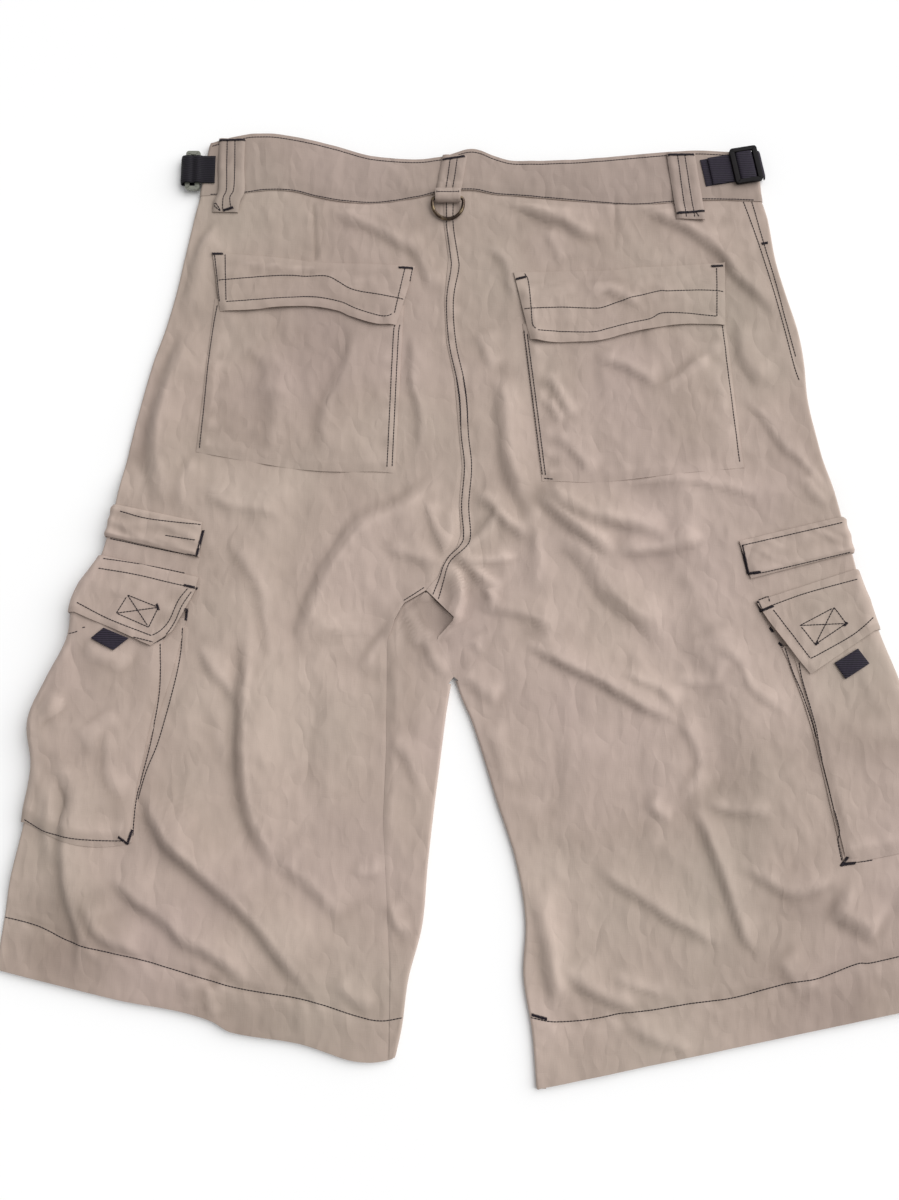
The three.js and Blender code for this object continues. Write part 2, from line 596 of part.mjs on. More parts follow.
function makeCargo(name, side, piece, count, columns, rise) {
  const way = outward(side);
  const place = (i, j, n) => {
    const row = between(piece.rows, i / count);
    const edgeX = edgeAt(side, row.edgeY);
    const sag = (piece.sag ?? 0) * (1 - i / count) ** 3;
    const yOf = (x) => {
      const f = (Math.abs(x) - row.x) / (edgeX - row.x);
      return lerp(row.y, row.edgeY, f) - sag * 4 * clamp01(f) * (1 - clamp01(f));
    };
    const cut = { ...row, x: way * row.x, under: piece.under };
    return roundSide(side, cut, yOf, j, columns, n);
  };
  const total = columns.back + wrapSteps + columns.under;
  return cloth(name, khaki, count, total, place, rise, (i, j) => rise(i, j) + wall);
}

function makeGusset(side) {
  const count = 10;
  const place = (i, j, n) => {
    const row = between(cargo[side].gusset, i / count);
    return onBack(outward(side) * lerp(row.x0, row.x1, j / 2), row.y, n);
  };
  return cloth(`cargo_gusset_${side}`, shadeKhaki, count, 2, place, ply, ply + gussetWall);
}

function makePullTab(side) {
  const [a, b, c, d] = cargo[side].tab;
  const corners = { topInner: a, topOuter: b, lowOuter: c, lowInner: d };
  return makePatch(`pull_tab_${side}`, navy, corners, 2, 2, () => flapRise, pullTabThick);
}

// An adjuster's own frame: its start on the waistband, turned to its slant
function adjusterGroup(side) {
  const { x, y, turn } = adjusters[side];
  const holder = new THREE.Group();
  const heightOfBand = Math.max(...[0, 15, 30].map((out) => backTop(x + outward(side) * out, y)));
  holder.position.set(x, y + middle, heightOfBand + bandProud + ply + webbingWall / 2);
  holder.rotation.z = turn;
  return holder;
}

// Webbing sewn to the waistband, running to its buckle and round it
function makeStrap(side) {
  const { run } = adjusters[side];
  const way = outward(side);
  const normals = run.map((p, k) => {
    const [a, b] = [run[Math.max(0, k - 1)], run[Math.min(run.length - 1, k + 1)]];
    const length = Math.hypot(b.out - a.out, b.up - a.up);
    return { out: -(b.up - a.up) / length, up: (b.out - a.out) / length };
  });
  const place = (i, j, n) => [
    way * (run[j].out + normals[j].out * n),
    webbing * (i - 0.5),
    run[j].up + normals[j].up * n,
  ];
  return cloth(`adjuster_strap_${side}`, navy, 1, run.length - 1, place, -webbingWall / 2, webbingWall / 2);
}

// Slide buckle: a frame with a window
function makeBuckle(side) {
  const { frame } = adjusters[side];
  const outline = new THREE.Shape();
  const [w, h] = [(frame.to - frame.from) / 2, frame.tall / 2];
  outline.absarc(w - buckleCorner, -h + buckleCorner, buckleCorner, -Math.PI / 2, 0);
  outline.absarc(w - buckleCorner, h - buckleCorner, buckleCorner, 0, Math.PI / 2);
  outline.absarc(-w + buckleCorner, h - buckleCorner, buckleCorner, Math.PI / 2, Math.PI);
  outline.absarc(-w + buckleCorner, -h + buckleCorner, buckleCorner, Math.PI, 1.5 * Math.PI);
  outline.closePath();
  const window = new THREE.Path();
  window.moveTo(-w + buckleBar, -h + buckleEnd);
  window.lineTo(-w + buckleBar, h - buckleEnd);
  window.lineTo(w - buckleBar, h - buckleEnd);
  window.lineTo(w - buckleBar, -h + buckleEnd);
  window.closePath();
  outline.holes.push(window);
  const settings = { depth: buckleThick, bevelEnabled: false, curveSegments: 3 };
  const geometry = new THREE.ExtrudeGeometry(outline, settings);
  const material = new THREE.MeshStandardMaterial({ color: frame.colour, roughness: 0.45 });
  const mesh = new THREE.Mesh(geometry, material);
  mesh.position.set((outward(side) * (frame.from + frame.to)) / 2, 0, frame.low);
  mesh.name = `adjuster_buckle_${side}`;
  return mesh;
}

const ringRest = backTop(ring.x, ring.barY);
const tabHole = ring.wire / 2 + ringTab.clearance;
const barZ = ringRest + ply + ringTab.wall + tabHole;

// The end of the centre loop, folded round the straight bar of the ring
function makeRingTab() {
  const outline = new THREE.Shape();
  outline.absarc(0, 0, tabHole + ringTab.wall, 0, 2 * Math.PI);
  const bore = new THREE.Path();
  bore.absarc(0, 0, tabHole, 0, 2 * Math.PI, true);
  outline.holes.push(bore);
  const settings = { depth: ringTab.wide, bevelEnabled: false, curveSegments: 7 };
  const geometry = new THREE.ExtrudeGeometry(outline, settings);
  const mesh = new THREE.Mesh(geometry, new THREE.MeshStandardMaterial({ color: shadeKhaki, roughness: 0.85 }));
  mesh.rotation.y = Math.PI / 2;
  mesh.position.set(ringTab.x - ringTab.wide / 2, ring.barY + middle, barZ);
  mesh.name = 'ring_tab';
  return mesh;
}

// D-ring: a straight bar through the tab and a half-round bow resting on the cloth
function makeRing() {
  const drop = ring.barY - ring.curveY;
  const path = new THREE.CurvePath();
  const r = ring.radius;
  const v = (x, y) => new THREE.Vector3(x, y, 0);
  const bend = (x0, y0, cx, cy, x1, y1) => new THREE.QuadraticBezierCurve3(v(x0, y0), v(cx, cy), v(x1, y1));
  const { corner } = ring;
  path.add(new THREE.LineCurve3(v(-r + corner, 0), v(r - corner, 0)));
  path.add(bend(r - corner, 0, r, 0, r, -corner));
  path.add(new THREE.LineCurve3(v(r, -corner), v(r, -drop)));
  const half = 4 / 3 * Math.tan(Math.PI / 8) * r;
  const low = v(0, -drop - r);
  path.add(new THREE.CubicBezierCurve3(v(r, -drop), v(r, -drop - half), v(half, -drop - r), low));
  path.add(new THREE.CubicBezierCurve3(low, v(-half, -drop - r), v(-r, -drop - half), v(-r, -drop)));
  path.add(new THREE.LineCurve3(v(-r, -drop), v(-r, -corner)));
  path.add(bend(-r, -corner, -r, 0, -r + corner, 0));
  const steps = 32;
  const sides = 8;
  const points = range(steps).map((k) => path.getPointAt(k / steps));
  const positions = [];
  const indices = [];
  points.forEach((p, k) => {
    const ahead = points[(k + 1) % steps];
    const behind = points[(k + steps - 1) % steps];
    const tangent = new THREE.Vector3().subVectors(ahead, behind).normalize();
    const across = tangent.cross(new THREE.Vector3(0, 0, 1));
    for (const s of range(sides)) {
      const a = (2 * Math.PI * (s + 0.5)) / sides;
      const q = p.clone().addScaledVector(across, (Math.cos(a) * ring.wire) / 2);
      positions.push(q.x, q.y, (Math.sin(a) * ring.wire) / 2);
      const [k2, s2] = [(k + 1) % steps, (s + 1) % sides];
      const [m0, m1, m2, m3] = [k * sides + s, k2 * sides + s, k2 * sides + s2, k * sides + s2];
      indices.push(m0, m1, m2, m0, m2, m3);
    }
  });
  const mesh = solid('d_ring', bronze, positions, indices, 0.35, 0.9);
  const reach = drop + r;
  const below = [-r, -r / 2, 0, r / 2, r].map((x) => backTop(ring.x + x, ring.barY - reach));
  const restZ = Math.max(...below) + ply + ring.wire / 2;
  mesh.rotation.x = Math.asin((barZ - restZ) / reach);
  mesh.position.set(ring.x, ring.barY + middle, barZ);
  return mesh;
}

// Fly: the strip that covers the closed front opening, underneath
function makeFly() {
  const rows = 10;
  const place = (i, j, n) => {
    const y = lerp(fly.y0, fly.y1, i / rows);
    const corner = i === 0 ? flyCorner : 0;
    return onUnder(lerp(fly.x0 + corner, fly.x1, j / 3), y, n);
  };
  return cloth('fly', shadeKhaki, rows, 3, place, flyRise, flyRise + flyWall);
}

function makeButton() {
  const geometry = new THREE.CylinderGeometry(button.radius, button.radius, button.thick, 24);
  const mesh = new THREE.Mesh(geometry, new THREE.MeshStandardMaterial({ color: shadeKhaki, roughness: 0.5 }));
  mesh.rotation.x = Math.PI / 2;
  const bandUnder = lift(button.x, button.y) - bandProud;
  mesh.position.set(button.x, button.y + middle, bandUnder - seam - button.thick / 2);
  mesh.name = 'waist_button';
  return mesh;
}

const bandColumns = { back: 5, under: 4 };
const pocketColumns = { back: 6, under: 5 };

const group = new THREE.Group();
group.add(makeBackLeft(), makeBackRight(), makeFrontLeft(), makeFrontRight());
group.add(makeWaistband());
for (const side of ['left', 'right']) {
  const sewn = cargo[side];
  const flapLift = (i) => [flapRise, flapRise, flapRise, pocketRise, ply][Math.min(4, i)];
  group.add(makeWaistbandFront(side), makeBackPocket(side), makeBackFlap(side));
  group.add(makeCargo(`side_band_${side}`, side, sewn.band, 2, bandColumns, () => ply));
  group.add(makeGusset(side));
  group.add(makeCargo(`cargo_pocket_${side}`, side, sewn.pocket, 10, pocketColumns, () => pocketRise));
  group.add(makeCargo(`cargo_flap_${side}`, side, sewn.flap, 4, pocketColumns, flapLift));
  const adjuster = adjusterGroup(side);
  adjuster.add(makeStrap(side), makeBuckle(side));
  group.add(makePullTab(side), adjuster);
}
beltLoops.forEach((loop) => group.add(makeBeltLoop(loop)));
group.add(makeRingTab(), makeRing(), makeFly(), makeButton());

export default group;
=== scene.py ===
import math
import bpy
import numpy as np
from mathutils import Matrix, Vector
from mathutils.bvhtree import BVHTree


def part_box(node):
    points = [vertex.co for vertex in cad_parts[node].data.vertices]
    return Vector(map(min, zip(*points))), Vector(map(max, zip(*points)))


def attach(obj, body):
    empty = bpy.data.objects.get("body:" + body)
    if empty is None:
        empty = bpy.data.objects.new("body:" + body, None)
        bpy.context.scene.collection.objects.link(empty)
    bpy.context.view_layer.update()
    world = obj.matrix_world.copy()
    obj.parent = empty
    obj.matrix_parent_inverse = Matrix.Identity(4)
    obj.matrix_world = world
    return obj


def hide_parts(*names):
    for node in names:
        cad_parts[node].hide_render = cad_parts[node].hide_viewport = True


# Cargo shorts laid flat with the back up. Numbers in the tables are millimetres seen from above.
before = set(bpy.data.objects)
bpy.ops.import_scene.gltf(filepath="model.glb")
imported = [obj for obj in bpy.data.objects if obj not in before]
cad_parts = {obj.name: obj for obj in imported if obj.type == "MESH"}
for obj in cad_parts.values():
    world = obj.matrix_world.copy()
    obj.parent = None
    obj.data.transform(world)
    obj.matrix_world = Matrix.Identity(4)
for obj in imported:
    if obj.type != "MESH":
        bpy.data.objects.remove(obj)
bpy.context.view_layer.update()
print("frame loaded")

view = {"place": (-0.01366, -0.17252, 0.87648), "tilt": 10, "lens": 33.99}
bpy.ops.object.select_all(action="DESELECT")
bpy.ops.object.camera_add(location=view["place"], rotation=(math.radians(view["tilt"]), 0, 0))
camera = bpy.context.object
camera.name = "camera"
camera.data.lens = view["lens"]
camera.data.sensor_width = 36
bpy.context.scene.camera = camera

# The make-up of the cloth
cloth = {"wall": 1.2, "proud": 0.8, "seam": 0.06, "waistSeam": 0.1, "ply": 0.6, "puff": 1.8, "middle": 4}
wall, proud, seam, ply = cloth["wall"], cloth["proud"], cloth["seam"], cloth["ply"]
backFace = 2 * wall + cloth["puff"]      # outer face of the back over the underside of the front
edgeRadius = backFace / 2
gussetWall = 1.0
pocketRise = ply + gussetWall + ply
flapRise = pocketRise + wall + ply

body = {
    "sideEdge": {
        "y": [-380, -310, -240, -190, -150, -116, -86, -54, -23, 9, 41,
              74, 107, 141, 175, 201, 232, 262, 297, 318, 350, 380],
        "left": [354, 350, 343, 334, 328.5, 332.5, 321, 306.5, 303, 288, 280,
                 274.5, 269, 262, 254, 246, 238.5, 233, 226.5, 222, 217, 212],
        "right": [353, 350, 346, 343, 340, 335.5, 328, 317, 308.5, 303, 296,
                  289, 282, 276, 274.5, 271, 263, 256, 251.5, 246.5, 245, 243]},
    "innerEdge": {
        "y": [-390, -345, -305, -265, -221, -177, -147, -116, -100, -86],
        "left": [-58, -49, -44, -34, -30, -25, -21, -17, -14.5, -12],
        "right": [50, 47, 41, 43, 36, 22, 13, 3, -4, -9]},
    "waist": {
        "x": [-224, -189, -165, -144, -125, -105, -78, -42, -20, 6, 24, 40, 94, 147, 195, 250],
        "bottom": [319, 321, 324, 323, 318, 314, 312, 316, 321, 323, 320, 319, 314, 311, 315, 314],
        "top": [364, 374, 376, 373, 368.5, 363, 355, 351, 353.5, 361, 355, 351, 352, 357, 360, 356]},
    "leftInseam": [(-58, -367.5), (-58, -300), (-62, -224), (-64, -193), (-62, -139), (-62, -88)],
    "leftCrotch": [(-62, -88), (-62, -72), (-62, -56), (-57, -39), (-49.5, -25.5), (-32, -15)],
    "rightCrotch": [(-9, -86), (-16, -70), (-24, -53.5), (-9.5, -38), (-20, -27), (-32, -15)],
    "centreBack": [(-32, -15), (-22.5, -4), (-18, 8), (-8, 19), (-4.5, 30), (-6, 54), (-3.5, 85),
                   (-6, 112), (-9.5, 158), (-16, 190), (-18, 226), (-14.5, 264), (-18, 292), (-19, 322)],
    "leftDart": [(-127, 312), (-125.5, 288), (-124.5, 262)],
    "rightDart": [(124, 311), (124, 292), (124, 272)],
    "tongue": [(-9, -86), (-16, -70), (-24, -53.5), (-9.5, -38), (-20, -27.5), (-31, -17)],
    "tongueStart": [(-62, -88), (-62, -72), (-62, -56), (-57, -39), (-49.5, -25.5), (-34, -17)],
    "under": {"y": [-264, -232, -152, -116, 60, 96, 400], "sides": [0, 3.8, 3.8, 5.6, 5.6, 0, 0]},
    "hemWave": {"x": [-354, -298, -253, -212, -188, -174, -123, -88, -72, -60, -52],
                "up": [3, 2, 1.7, 3.7, 1.9, -2.4, 0.7, -2.6, -1, 3, 7]},
    "hem": {"left": -303, "right": -324}, "hemInner": {"left": -367.5, "right": -384},
    "outseamUnder": {"left": 40, "right": 4},
    "middleX": -14,       # between the halves
    "waistEndX": 240,     # where the waist line is read for the side edges
    "turnUnder": 5,       # how far the right back panel turns under at the inner edge of the leg
}
crotchY, meetY = -86, -14      # top of the gap between the legs, and the edge height where the seams meet
centreFrontX = body["centreBack"][-1][0] + 5

# Creases: a crest along a path, steep on one side and gentle on the other. side 1 keeps the
# gentle flank to the left of the path's way. Each row has side, steep, gentle, height and path.
creases = [
    (1, 6, 30, 4.6, [(-177, -37), (-173, -70), (-175, -101), (-175, -132), (-173, -162), (-167, -188),
      (-154, -214), (-135, -237)]),
    (1, 6, 20, 2.2, [(-148, -222), (-125, -236), (-106, -254), (-96, -267)]),
    (1, 3.5, 12, 1.4, [(-209, -55), (-201, -74), (-185, -93), (-173, -115)]),
    (1, 5.5, 28, 5, [(-248, -162), (-240, -188), (-227, -210), (-210, -225), (-192, -241), (-176, -254),
      (-156, -273), (-142, -291), (-124, -310), (-109, -324)]),
    (1, 5, 20, 3, [(-272, -227), (-253, -249), (-233, -262), (-213, -280), (-193, -290), (-176, -301),
      (-156, -317)]),
    (1, 4.5, 20, 3, [(-322, -150), (-309, -158), (-299, -174), (-303, -197), (-305, -214), (-302, -239),
      (-297, -259), (-291, -276), (-289, -311)]),
    (1, 5, 16, 2.2, [(-287, -246), (-281, -268), (-274, -277), (-255, -287), (-239, -294)]),
    (1, 5, 14, 1.6, [(-61, -130), (-50, -141), (-38, -163), (-30, -181)]),
    (1, 3.5, 14, 1.3, [(-210, 71), (-199, 57), (-186, 50), (-165, 47), (-143, 41)]),
    (1, 7, 30, 3.8, [(-20, 82), (-37, 67), (-57, 53), (-86, 40), (-100, 21), (-114, -1), (-123, -25),
      (-130, -47), (-125, -72)]),
    (1, 4, 14, 1.3, [(-190, 30), (-178, 9), (-163, -15), (-159, -39), (-153, -66), (-148, -78)]),
    (1, 8, 24, 4, [(-225, 209), (-236, 181), (-247, 153), (-252, 124), (-253, 94), (-246, 66), (-243, 46)]),
    (1, 4, 10, 1.1, [(-218, 97), (-227, 74), (-228, 44)]),
    (1, 4.5, 18, 2.4, [(-202, 298), (-217, 283), (-227, 263), (-234, 237), (-240, 211)]),
    (1, 4, 12, 1.4, [(-54, 283), (-43, 268), (-35, 251), (-30, 233)]),
    (1, 4, 14, 1.6, [(-44, 204), (-46, 174), (-45, 153), (-40, 136), (-39, 107), (-47, 89)]),
    (1, 4.5, 16, 2.2, [(-115, 304), (-96, 296), (-75, 288), (-61, 279), (-40, 265)]),
    (1, 6, 26, 2.2, [(-93, 207), (-96, 183), (-105, 159), (-115, 134), (-117, 107), (-113, 80)]),
    (1, 7, 18, 1.4, [(-166, 204), (-159, 166), (-157, 132), (-158, 89)]),
    (1, 3.6, 12, 0.8, [(-59, -36), (-59, -66), (-58, -132), (-61, -169), (-63, -200), (-64, -239)]),
    (1, 3, 10, 1.5, [(-52, -31), (-44, -44), (-39, -62)]),
    (1, 3, 9, 1.3, [(-37, -46), (-33, -58), (-28, -71), (-17, -83)]),
    (1, 2.5, 7, 1.6, [(2, 2), (10, -6), (20, -12), (28, -17)]),
    (1, 2.5, 7, 1.2, [(14, -15), (16, -24), (12, -33)]),
    (1, 2.5, 8, 1, [(1, -55), (6, -61), (11, -65)]),
    (1, 4, 16, 1.4, [(-54, -33), (-63, -47), (-74, -61), (-84, -79)]),
    (1, 5, 14, 1.5, [(-296, -67), (-276, -72), (-259, -80)]),
    (1, 3, 10, 1.5, [(-334, -125), (-323, -116), (-314, -109), (-306, -107)]),
    (-1, 5, 14, 1, [(-296, -130), (-281, -119), (-269, -108)]),
    (1, 4, 14, 1.1, [(-275, -122), (-273, -148), (-270, -165), (-255, -177)]),
    (1, 4, 10, 1.8, [(-62, -250), (-56, -268), (-47, -275), (-40, -280)]),
    (1, 3, 8, 0.9, [(-87, -230), (-75, -233), (-61, -228)]),
    (1, 6, 16, 2.2, [(-326, -62), (-330, -93), (-333, -118)]),
    (1, 5, 12, 1.4, [(-332, -160), (-323, -178), (-319, -205), (-311, -230)]),
    (1, 5, 12, 1.4, [(-102, -311), (-90, -320), (-78, -326), (-65, -324)]),
    (1, 3, 8, 0.8, [(-194, -311), (-191, -325), (-188, -335)]),
    (1, 3, 8, 0.6, [(-211, -307), (-209, -320), (-207, -331)]),
    (1, 5, 14, 0.9, [(-195, -101), (-192, -132), (-185, -154)]),
    (1, 9, 30, 1.5, [(-106, -66), (-109, -101), (-114, -147), (-110, -199)]),
    (1, 4.5, 16, 3, [(12, 324), (28, 315), (45, 309), (64, 299), (80, 294), (96, 285), (119, 281)]),
    (1, 3.5, 12, 1.5, [(13, 273), (24, 266), (31, 258), (34, 240), (37, 221)]),
    (1, 3, 10, 0.8, [(62, 288), (71, 275), (77, 258)]),
    (1, 2.8, 12, 1.5, [(115, 72), (138, 71), (174, 71), (203, 66), (239, 54)]),
    (1, 3.8, 14, 2.6, [(135, 312), (157, 301), (185, 287), (209, 267), (221, 247), (239, 229), (257, 207)]),
    (1, 5.5, 18, 2, [(221, 211), (221, 187), (226, 169), (243, 151)]),
    (1, 3, 12, 1.6, [(222, 144), (238, 125), (252, 102), (268, 87), (289, 56)]),
    (1, 4, 10, 1.4, [(263, 77), (275, 58), (291, 53)]),
    (1, 6.5, 15, 3.6, [(21, 164), (27, 139), (28, 109), (31, 89), (37, 69), (45, 48)]),
    (1, 4, 12, 1.3, [(9, 200), (14, 181), (22, 164)]),
    (-1, 3.5, 9, 2.2, [(-14, 11), (1, 23), (14, 36), (23, 48), (33, 41), (37, 24)]),
    (1, 4, 10, 2.6, [(6, 62), (18, 53), (33, 37), (50, 24)]),
    (1, 3, 8, 2, [(-13, 10), (2, 6), (20, 6), (42, 10)]),
    (1, 3, 8, 1.7, [(-12, 8), (1, 1), (10, -9), (20, -28)]),
    (1, 2.5, 7, 1, [(-16, 15), (-9, 33), (-7, 53)]),
    (-1, 3.5, 9, 1.6, [(-16, 9), (-21, 21), (-29, 41), (-34, 59)]),
    (-1, 4, 12, 1.5, [(-21, 4), (-33, 7), (-49, 12), (-65, 19)]),
    (1, 6, 15, 4.2, [(55, 72), (74, 57), (90, 48), (108, 40), (137, 33), (163, 26)]),
    (1, 5, 12, 3.4, [(54, 66), (67, 49), (88, 31), (105, 19), (120, 13)]),
    (1, 4.5, 14, 3.4, [(114, 14), (144, 14), (168, 18), (190, 27)]),
    (1, 8, 24, 3.6, [(60, 23), (80, 18), (94, 5), (104, -14), (122, -32), (139, -44), (160, -64)]),
    (1, 6, 14, 2, [(42, 61), (50, 38), (52, 12), (47, -18)]),
    (1, 5, 14, 1.9, [(2, -23), (26, -32), (45, -36), (57, -43), (68, -55)]),
    (1, 2.8, 16, 3.2, [(41, -56), (64, -69), (83, -79), (102, -88), (120, -99), (137, -109), (164, -117)]),
    (1, 3, 10, 1.6, [(116, -79), (133, -87), (150, -95), (162, -110)]),
    (1, 2.5, 9, 1.1, [(158, -86), (179, -90), (201, -88)]),
    (1, 3, 12, 1.3, [(185, -57), (206, -71), (214, -89), (225, -101), (246, -113)]),
    (1, 3, 12, 1.3, [(160, -113), (170, -132), (175, -151), (168, -165), (161, -177)]),
    (1, 2.5, 8, 1.1, [(134, -181), (144, -188), (154, -193)]),
    (1, 3, 16, 2.7, [(165, -175), (175, -195), (181, -210), (190, -236), (199, -265), (205, -279),
      (219, -292)]),
    (1, 3, 14, 2.2, [(95, -227), (114, -241), (132, -252), (150, -265), (165, -272), (179, -280),
      (194, -285)]),
    (1, 2.5, 10, 1.2, [(179, -180), (198, -186), (234, -189)]),
    (1, 4, 14, 2, [(200, -223), (222, -237), (243, -247), (278, -237)]),
    (1, 7, 16, 3.2, [(268, -259), (284, -267), (304, -280)]),
    (1, 5, 16, 2.6, [(69, -296), (82, -311), (98, -321), (126, -330)]),
    (1, 3, 10, 1.2, [(102, -305), (126, -314), (150, -321)]),
    (1, 4, 12, 1.3, [(113, -338), (133, -349), (167, -362)]),
    (1, 6, 14, 3, [(43, -239), (48, -265), (56, -286), (60, -309), (69, -330)]),
    (1, 5, 12, 1.9, [(-9, -83), (5, -92), (24, -106)]),
    (1, 5, 14, 1.6, [(10, -118), (17, -141), (24, -171)]),
    (1, 5, 12, 1.3, [(228, -293), (237, -304), (248, -321)]),
    (1, 8, 24, 1.4, [(170, -55), (180, -72), (192, -89)]),
    (1, 10, 30, 1.4, [(71, -116), (75, -162), (66, -214)]),
    (1, 10, 30, 1.2, [(132, -132), (140, -177), (129, -227)]),
    (-1, 2.4, 8, 3.2, [(-12, 11), (-5, -1), (-2, -14), (-3, -28), (-8, -40), (-17, -48)]),
    (1, 2.5, 12, 1.9, [(103, 173), (124, 169), (140, 160), (155, 152)]),
    (-1, 2.5, 10, 1.4, [(155, 152), (169, 159), (183, 171), (199, 181)]),
    (1, 2.2, 8, 1.8, [(60, 164), (69, 152), (77, 137), (84, 123)]),
    (1, 2, 7, 1.4, [(62, 140), (69, 130), (75, 120)]),
    (1, 2.5, 12, 1.4, [(69, 111), (87, 94), (100, 75)]),
    (1, 2.2, 9, 1.3, [(101, 226), (113, 233), (124, 230), (142, 218)]),
    (1, 3, 10, 0.9, [(-193, 260), (-168, 254), (-137, 251), (-104, 254)]),
    (1, 4, 12, 0.9, [(-176, 187), (-165, 164), (-168, 139)]),
]


def mix(a, b, t):
    return a + (b - a) * t


def ease(t):
    t = np.clip(t, 0, 1)
    return t * t * (3 - 2 * t)


def bell(away, wide):
    return np.exp(-((away / wide) ** 2))


def follow(table, key, at, column):
    # smooth curve through a table, the same as the solids use
    keys, values = np.array(table[key], float), np.array(table[column], float)
    at = np.asarray(at, float)
    i = np.clip(np.searchsorted(keys, at, side="left") - 1, 0, len(keys) - 2)
    before, after = np.maximum(i - 1, 0), np.minimum(i + 2, len(keys) - 1)
    span = keys[i + 1] - keys[i]
    slopeIn = (values[i + 1] - values[before]) / (keys[i + 1] - keys[before])
    slopeOut = (values[after] - values[i]) / (keys[after] - keys[i])
    t = np.clip((at - keys[i]) / span, 0, 1)
    bend = (slopeIn * span * (1 - t) - slopeOut * span * t) * t * (1 - t)
    return mix(values[i], values[i + 1], ease(t)) + bend


def stepped(table, at, column):
    keys, values = np.array(table["y"], float), np.array(table[column], float)
    i = np.clip(np.searchsorted(keys, at, side="right"), 1, len(keys) - 1)
    return mix(values[i - 1], values[i], ease((at - keys[i - 1]) / (keys[i] - keys[i - 1])))


def along(points, t):
    # points at fractions of the way along a chain
    chain = np.array(points, float)
    steps = np.hypot(*np.diff(chain, axis=0).T)
    marks = np.concatenate([[0], np.cumsum(steps)]) / steps.sum()
    return np.interp(t, marks, chain[:, 0]), np.interp(t, marks, chain[:, 1])


def lengthsOf(chain):
    return np.concatenate([[0], np.cumsum(np.hypot(*np.diff(chain, axis=0).T))])


def pointsAt(chain, lengths, at):
    return np.interp(at, lengths, chain[:, 0]), np.interp(at, lengths, chain[:, 1])


def evenly(chain, count):
    # points at even steps along a chain
    lengths = lengthsOf(chain)
    return pointsAt(chain, lengths, np.linspace(0, lengths[-1], count))


def rounded(points, count):
    # a chain of points as a smooth curve with more points
    chain = np.array(points, float)
    table = {"k": np.arange(len(chain)), "x": chain[:, 0], "y": chain[:, 1]}
    at = np.linspace(0, len(chain) - 1, count)
    return np.stack([follow(table, "k", at, "x"), follow(table, "k", at, "y")], axis=1)


def outward(side):
    return -1 if side == "left" else 1


def edgeAt(side, y):
    return follow(body["sideEdge"], "y", y, side)


def innerAt(side, y):
    return follow(body["innerEdge"], "y", y, side)


def waistAt(x, line):
    return follow(body["waist"], "x", x, line)


def bySide(x, left, right):
    return np.where(x < body["middleX"], left, right)


def inFromEdge(x, y):
    return bySide(x, edgeAt("left", y), edgeAt("right", y)) - np.abs(x)


def together(x, y):
    return np.broadcast_arrays(np.asarray(x, float), np.asarray(y, float))


# where the front layer rides over what is sewn under it: ends of pockets and bands, waistband, button, fly
rides = {"sidesIn": 158, "sidesFade": 42, "bandY": 290, "bandFade": 18,
         "buttonX": -22, "buttonY": 331, "buttonHigh": 2.1, "buttonReach": 64, "buttonFade": 52,
         "flyX": (-81, 4), "flyY": (125, 318), "flyHigh": 1.5, "flyFade": 20}


def lift(x, y):
    nearSide = ease((rides["sidesIn"] - inFromEdge(x, y)) / rides["sidesFade"])
    sides = stepped(body["under"], y, "sides") * nearSide
    band = proud * ease((y - rides["bandY"]) / rides["bandFade"])
    fromButton = np.hypot(x - rides["buttonX"], y - rides["buttonY"])
    nearButton = ease((rides["buttonReach"] - fromButton) / rides["buttonFade"])
    return sides + band + rides["buttonHigh"] * nearButton


def frontLift(x, y):
    (left, right), (low, high), fade = rides["flyX"], rides["flyY"], rides["flyFade"]
    across = ease((x - left) / fade) * ease((right - x) / fade)
    return lift(x, y) + rides["flyHigh"] * across * ease((y - low) / fade) * ease((high - y) / fade)


def cloud(x, y, seed):
    # smooth random field with one cell to a unit, from -1 to 1
    table = np.random.default_rng(seed).uniform(-1, 1, (128, 128))
    i, j = np.floor(x).astype(int), np.floor(y).astype(int)
    u, v = ease(x - i), ease(y - j)
    pick = lambda a, b: table[(i + a) % 128, (j + b) % 128]
    return mix(mix(pick(0, 0), pick(1, 0), u), mix(pick(0, 1), pick(1, 1), u), v)


def ridged(x, y, seed, sharp=1.9):
    # the same field folded into crests
    return 1 - sharp * np.abs(cloud(x, y, seed))


def nearPath(x, y, path):
    # signed distance (left of the way is positive) and fraction along, for the nearest place on a path
    best = np.full(x.shape, 1e9)
    signed, fraction = np.zeros(x.shape), np.zeros(x.shape)
    steps, marks = np.hypot(*np.diff(path, axis=0).T), lengthsOf(path)
    for k in range(len(path) - 1):
        a, d = path[k], (path[k + 1] - path[k]) / steps[k]
        t = np.clip((x - a[0]) * d[0] + (y - a[1]) * d[1], 0, steps[k])
        dx, dy = x - a[0] - t * d[0], y - a[1] - t * d[1]
        gap = dx * dx + dy * dy
        nearer = gap < best
        best = np.where(nearer, gap, best)
        signed = np.where(nearer, np.sign(d[0] * dy - d[1] * dx) * np.sqrt(gap), signed)
        fraction = np.where(nearer, (marks[k] + t) / marks[-1], fraction)
    return signed, fraction


def addNear(x, y, total, path, reach, profile):
    # adds profile(signed distance, fraction) to what lies within reach of a path
    low, high = path.min(axis=0) - reach, path.max(axis=0) + reach
    near = (x > low[0]) & (x < high[0]) & (y > low[1]) & (y < high[1])
    if near.any():
        signed, fraction = nearPath(x[near], y[near], path)
        total[near] += profile(signed, fraction)


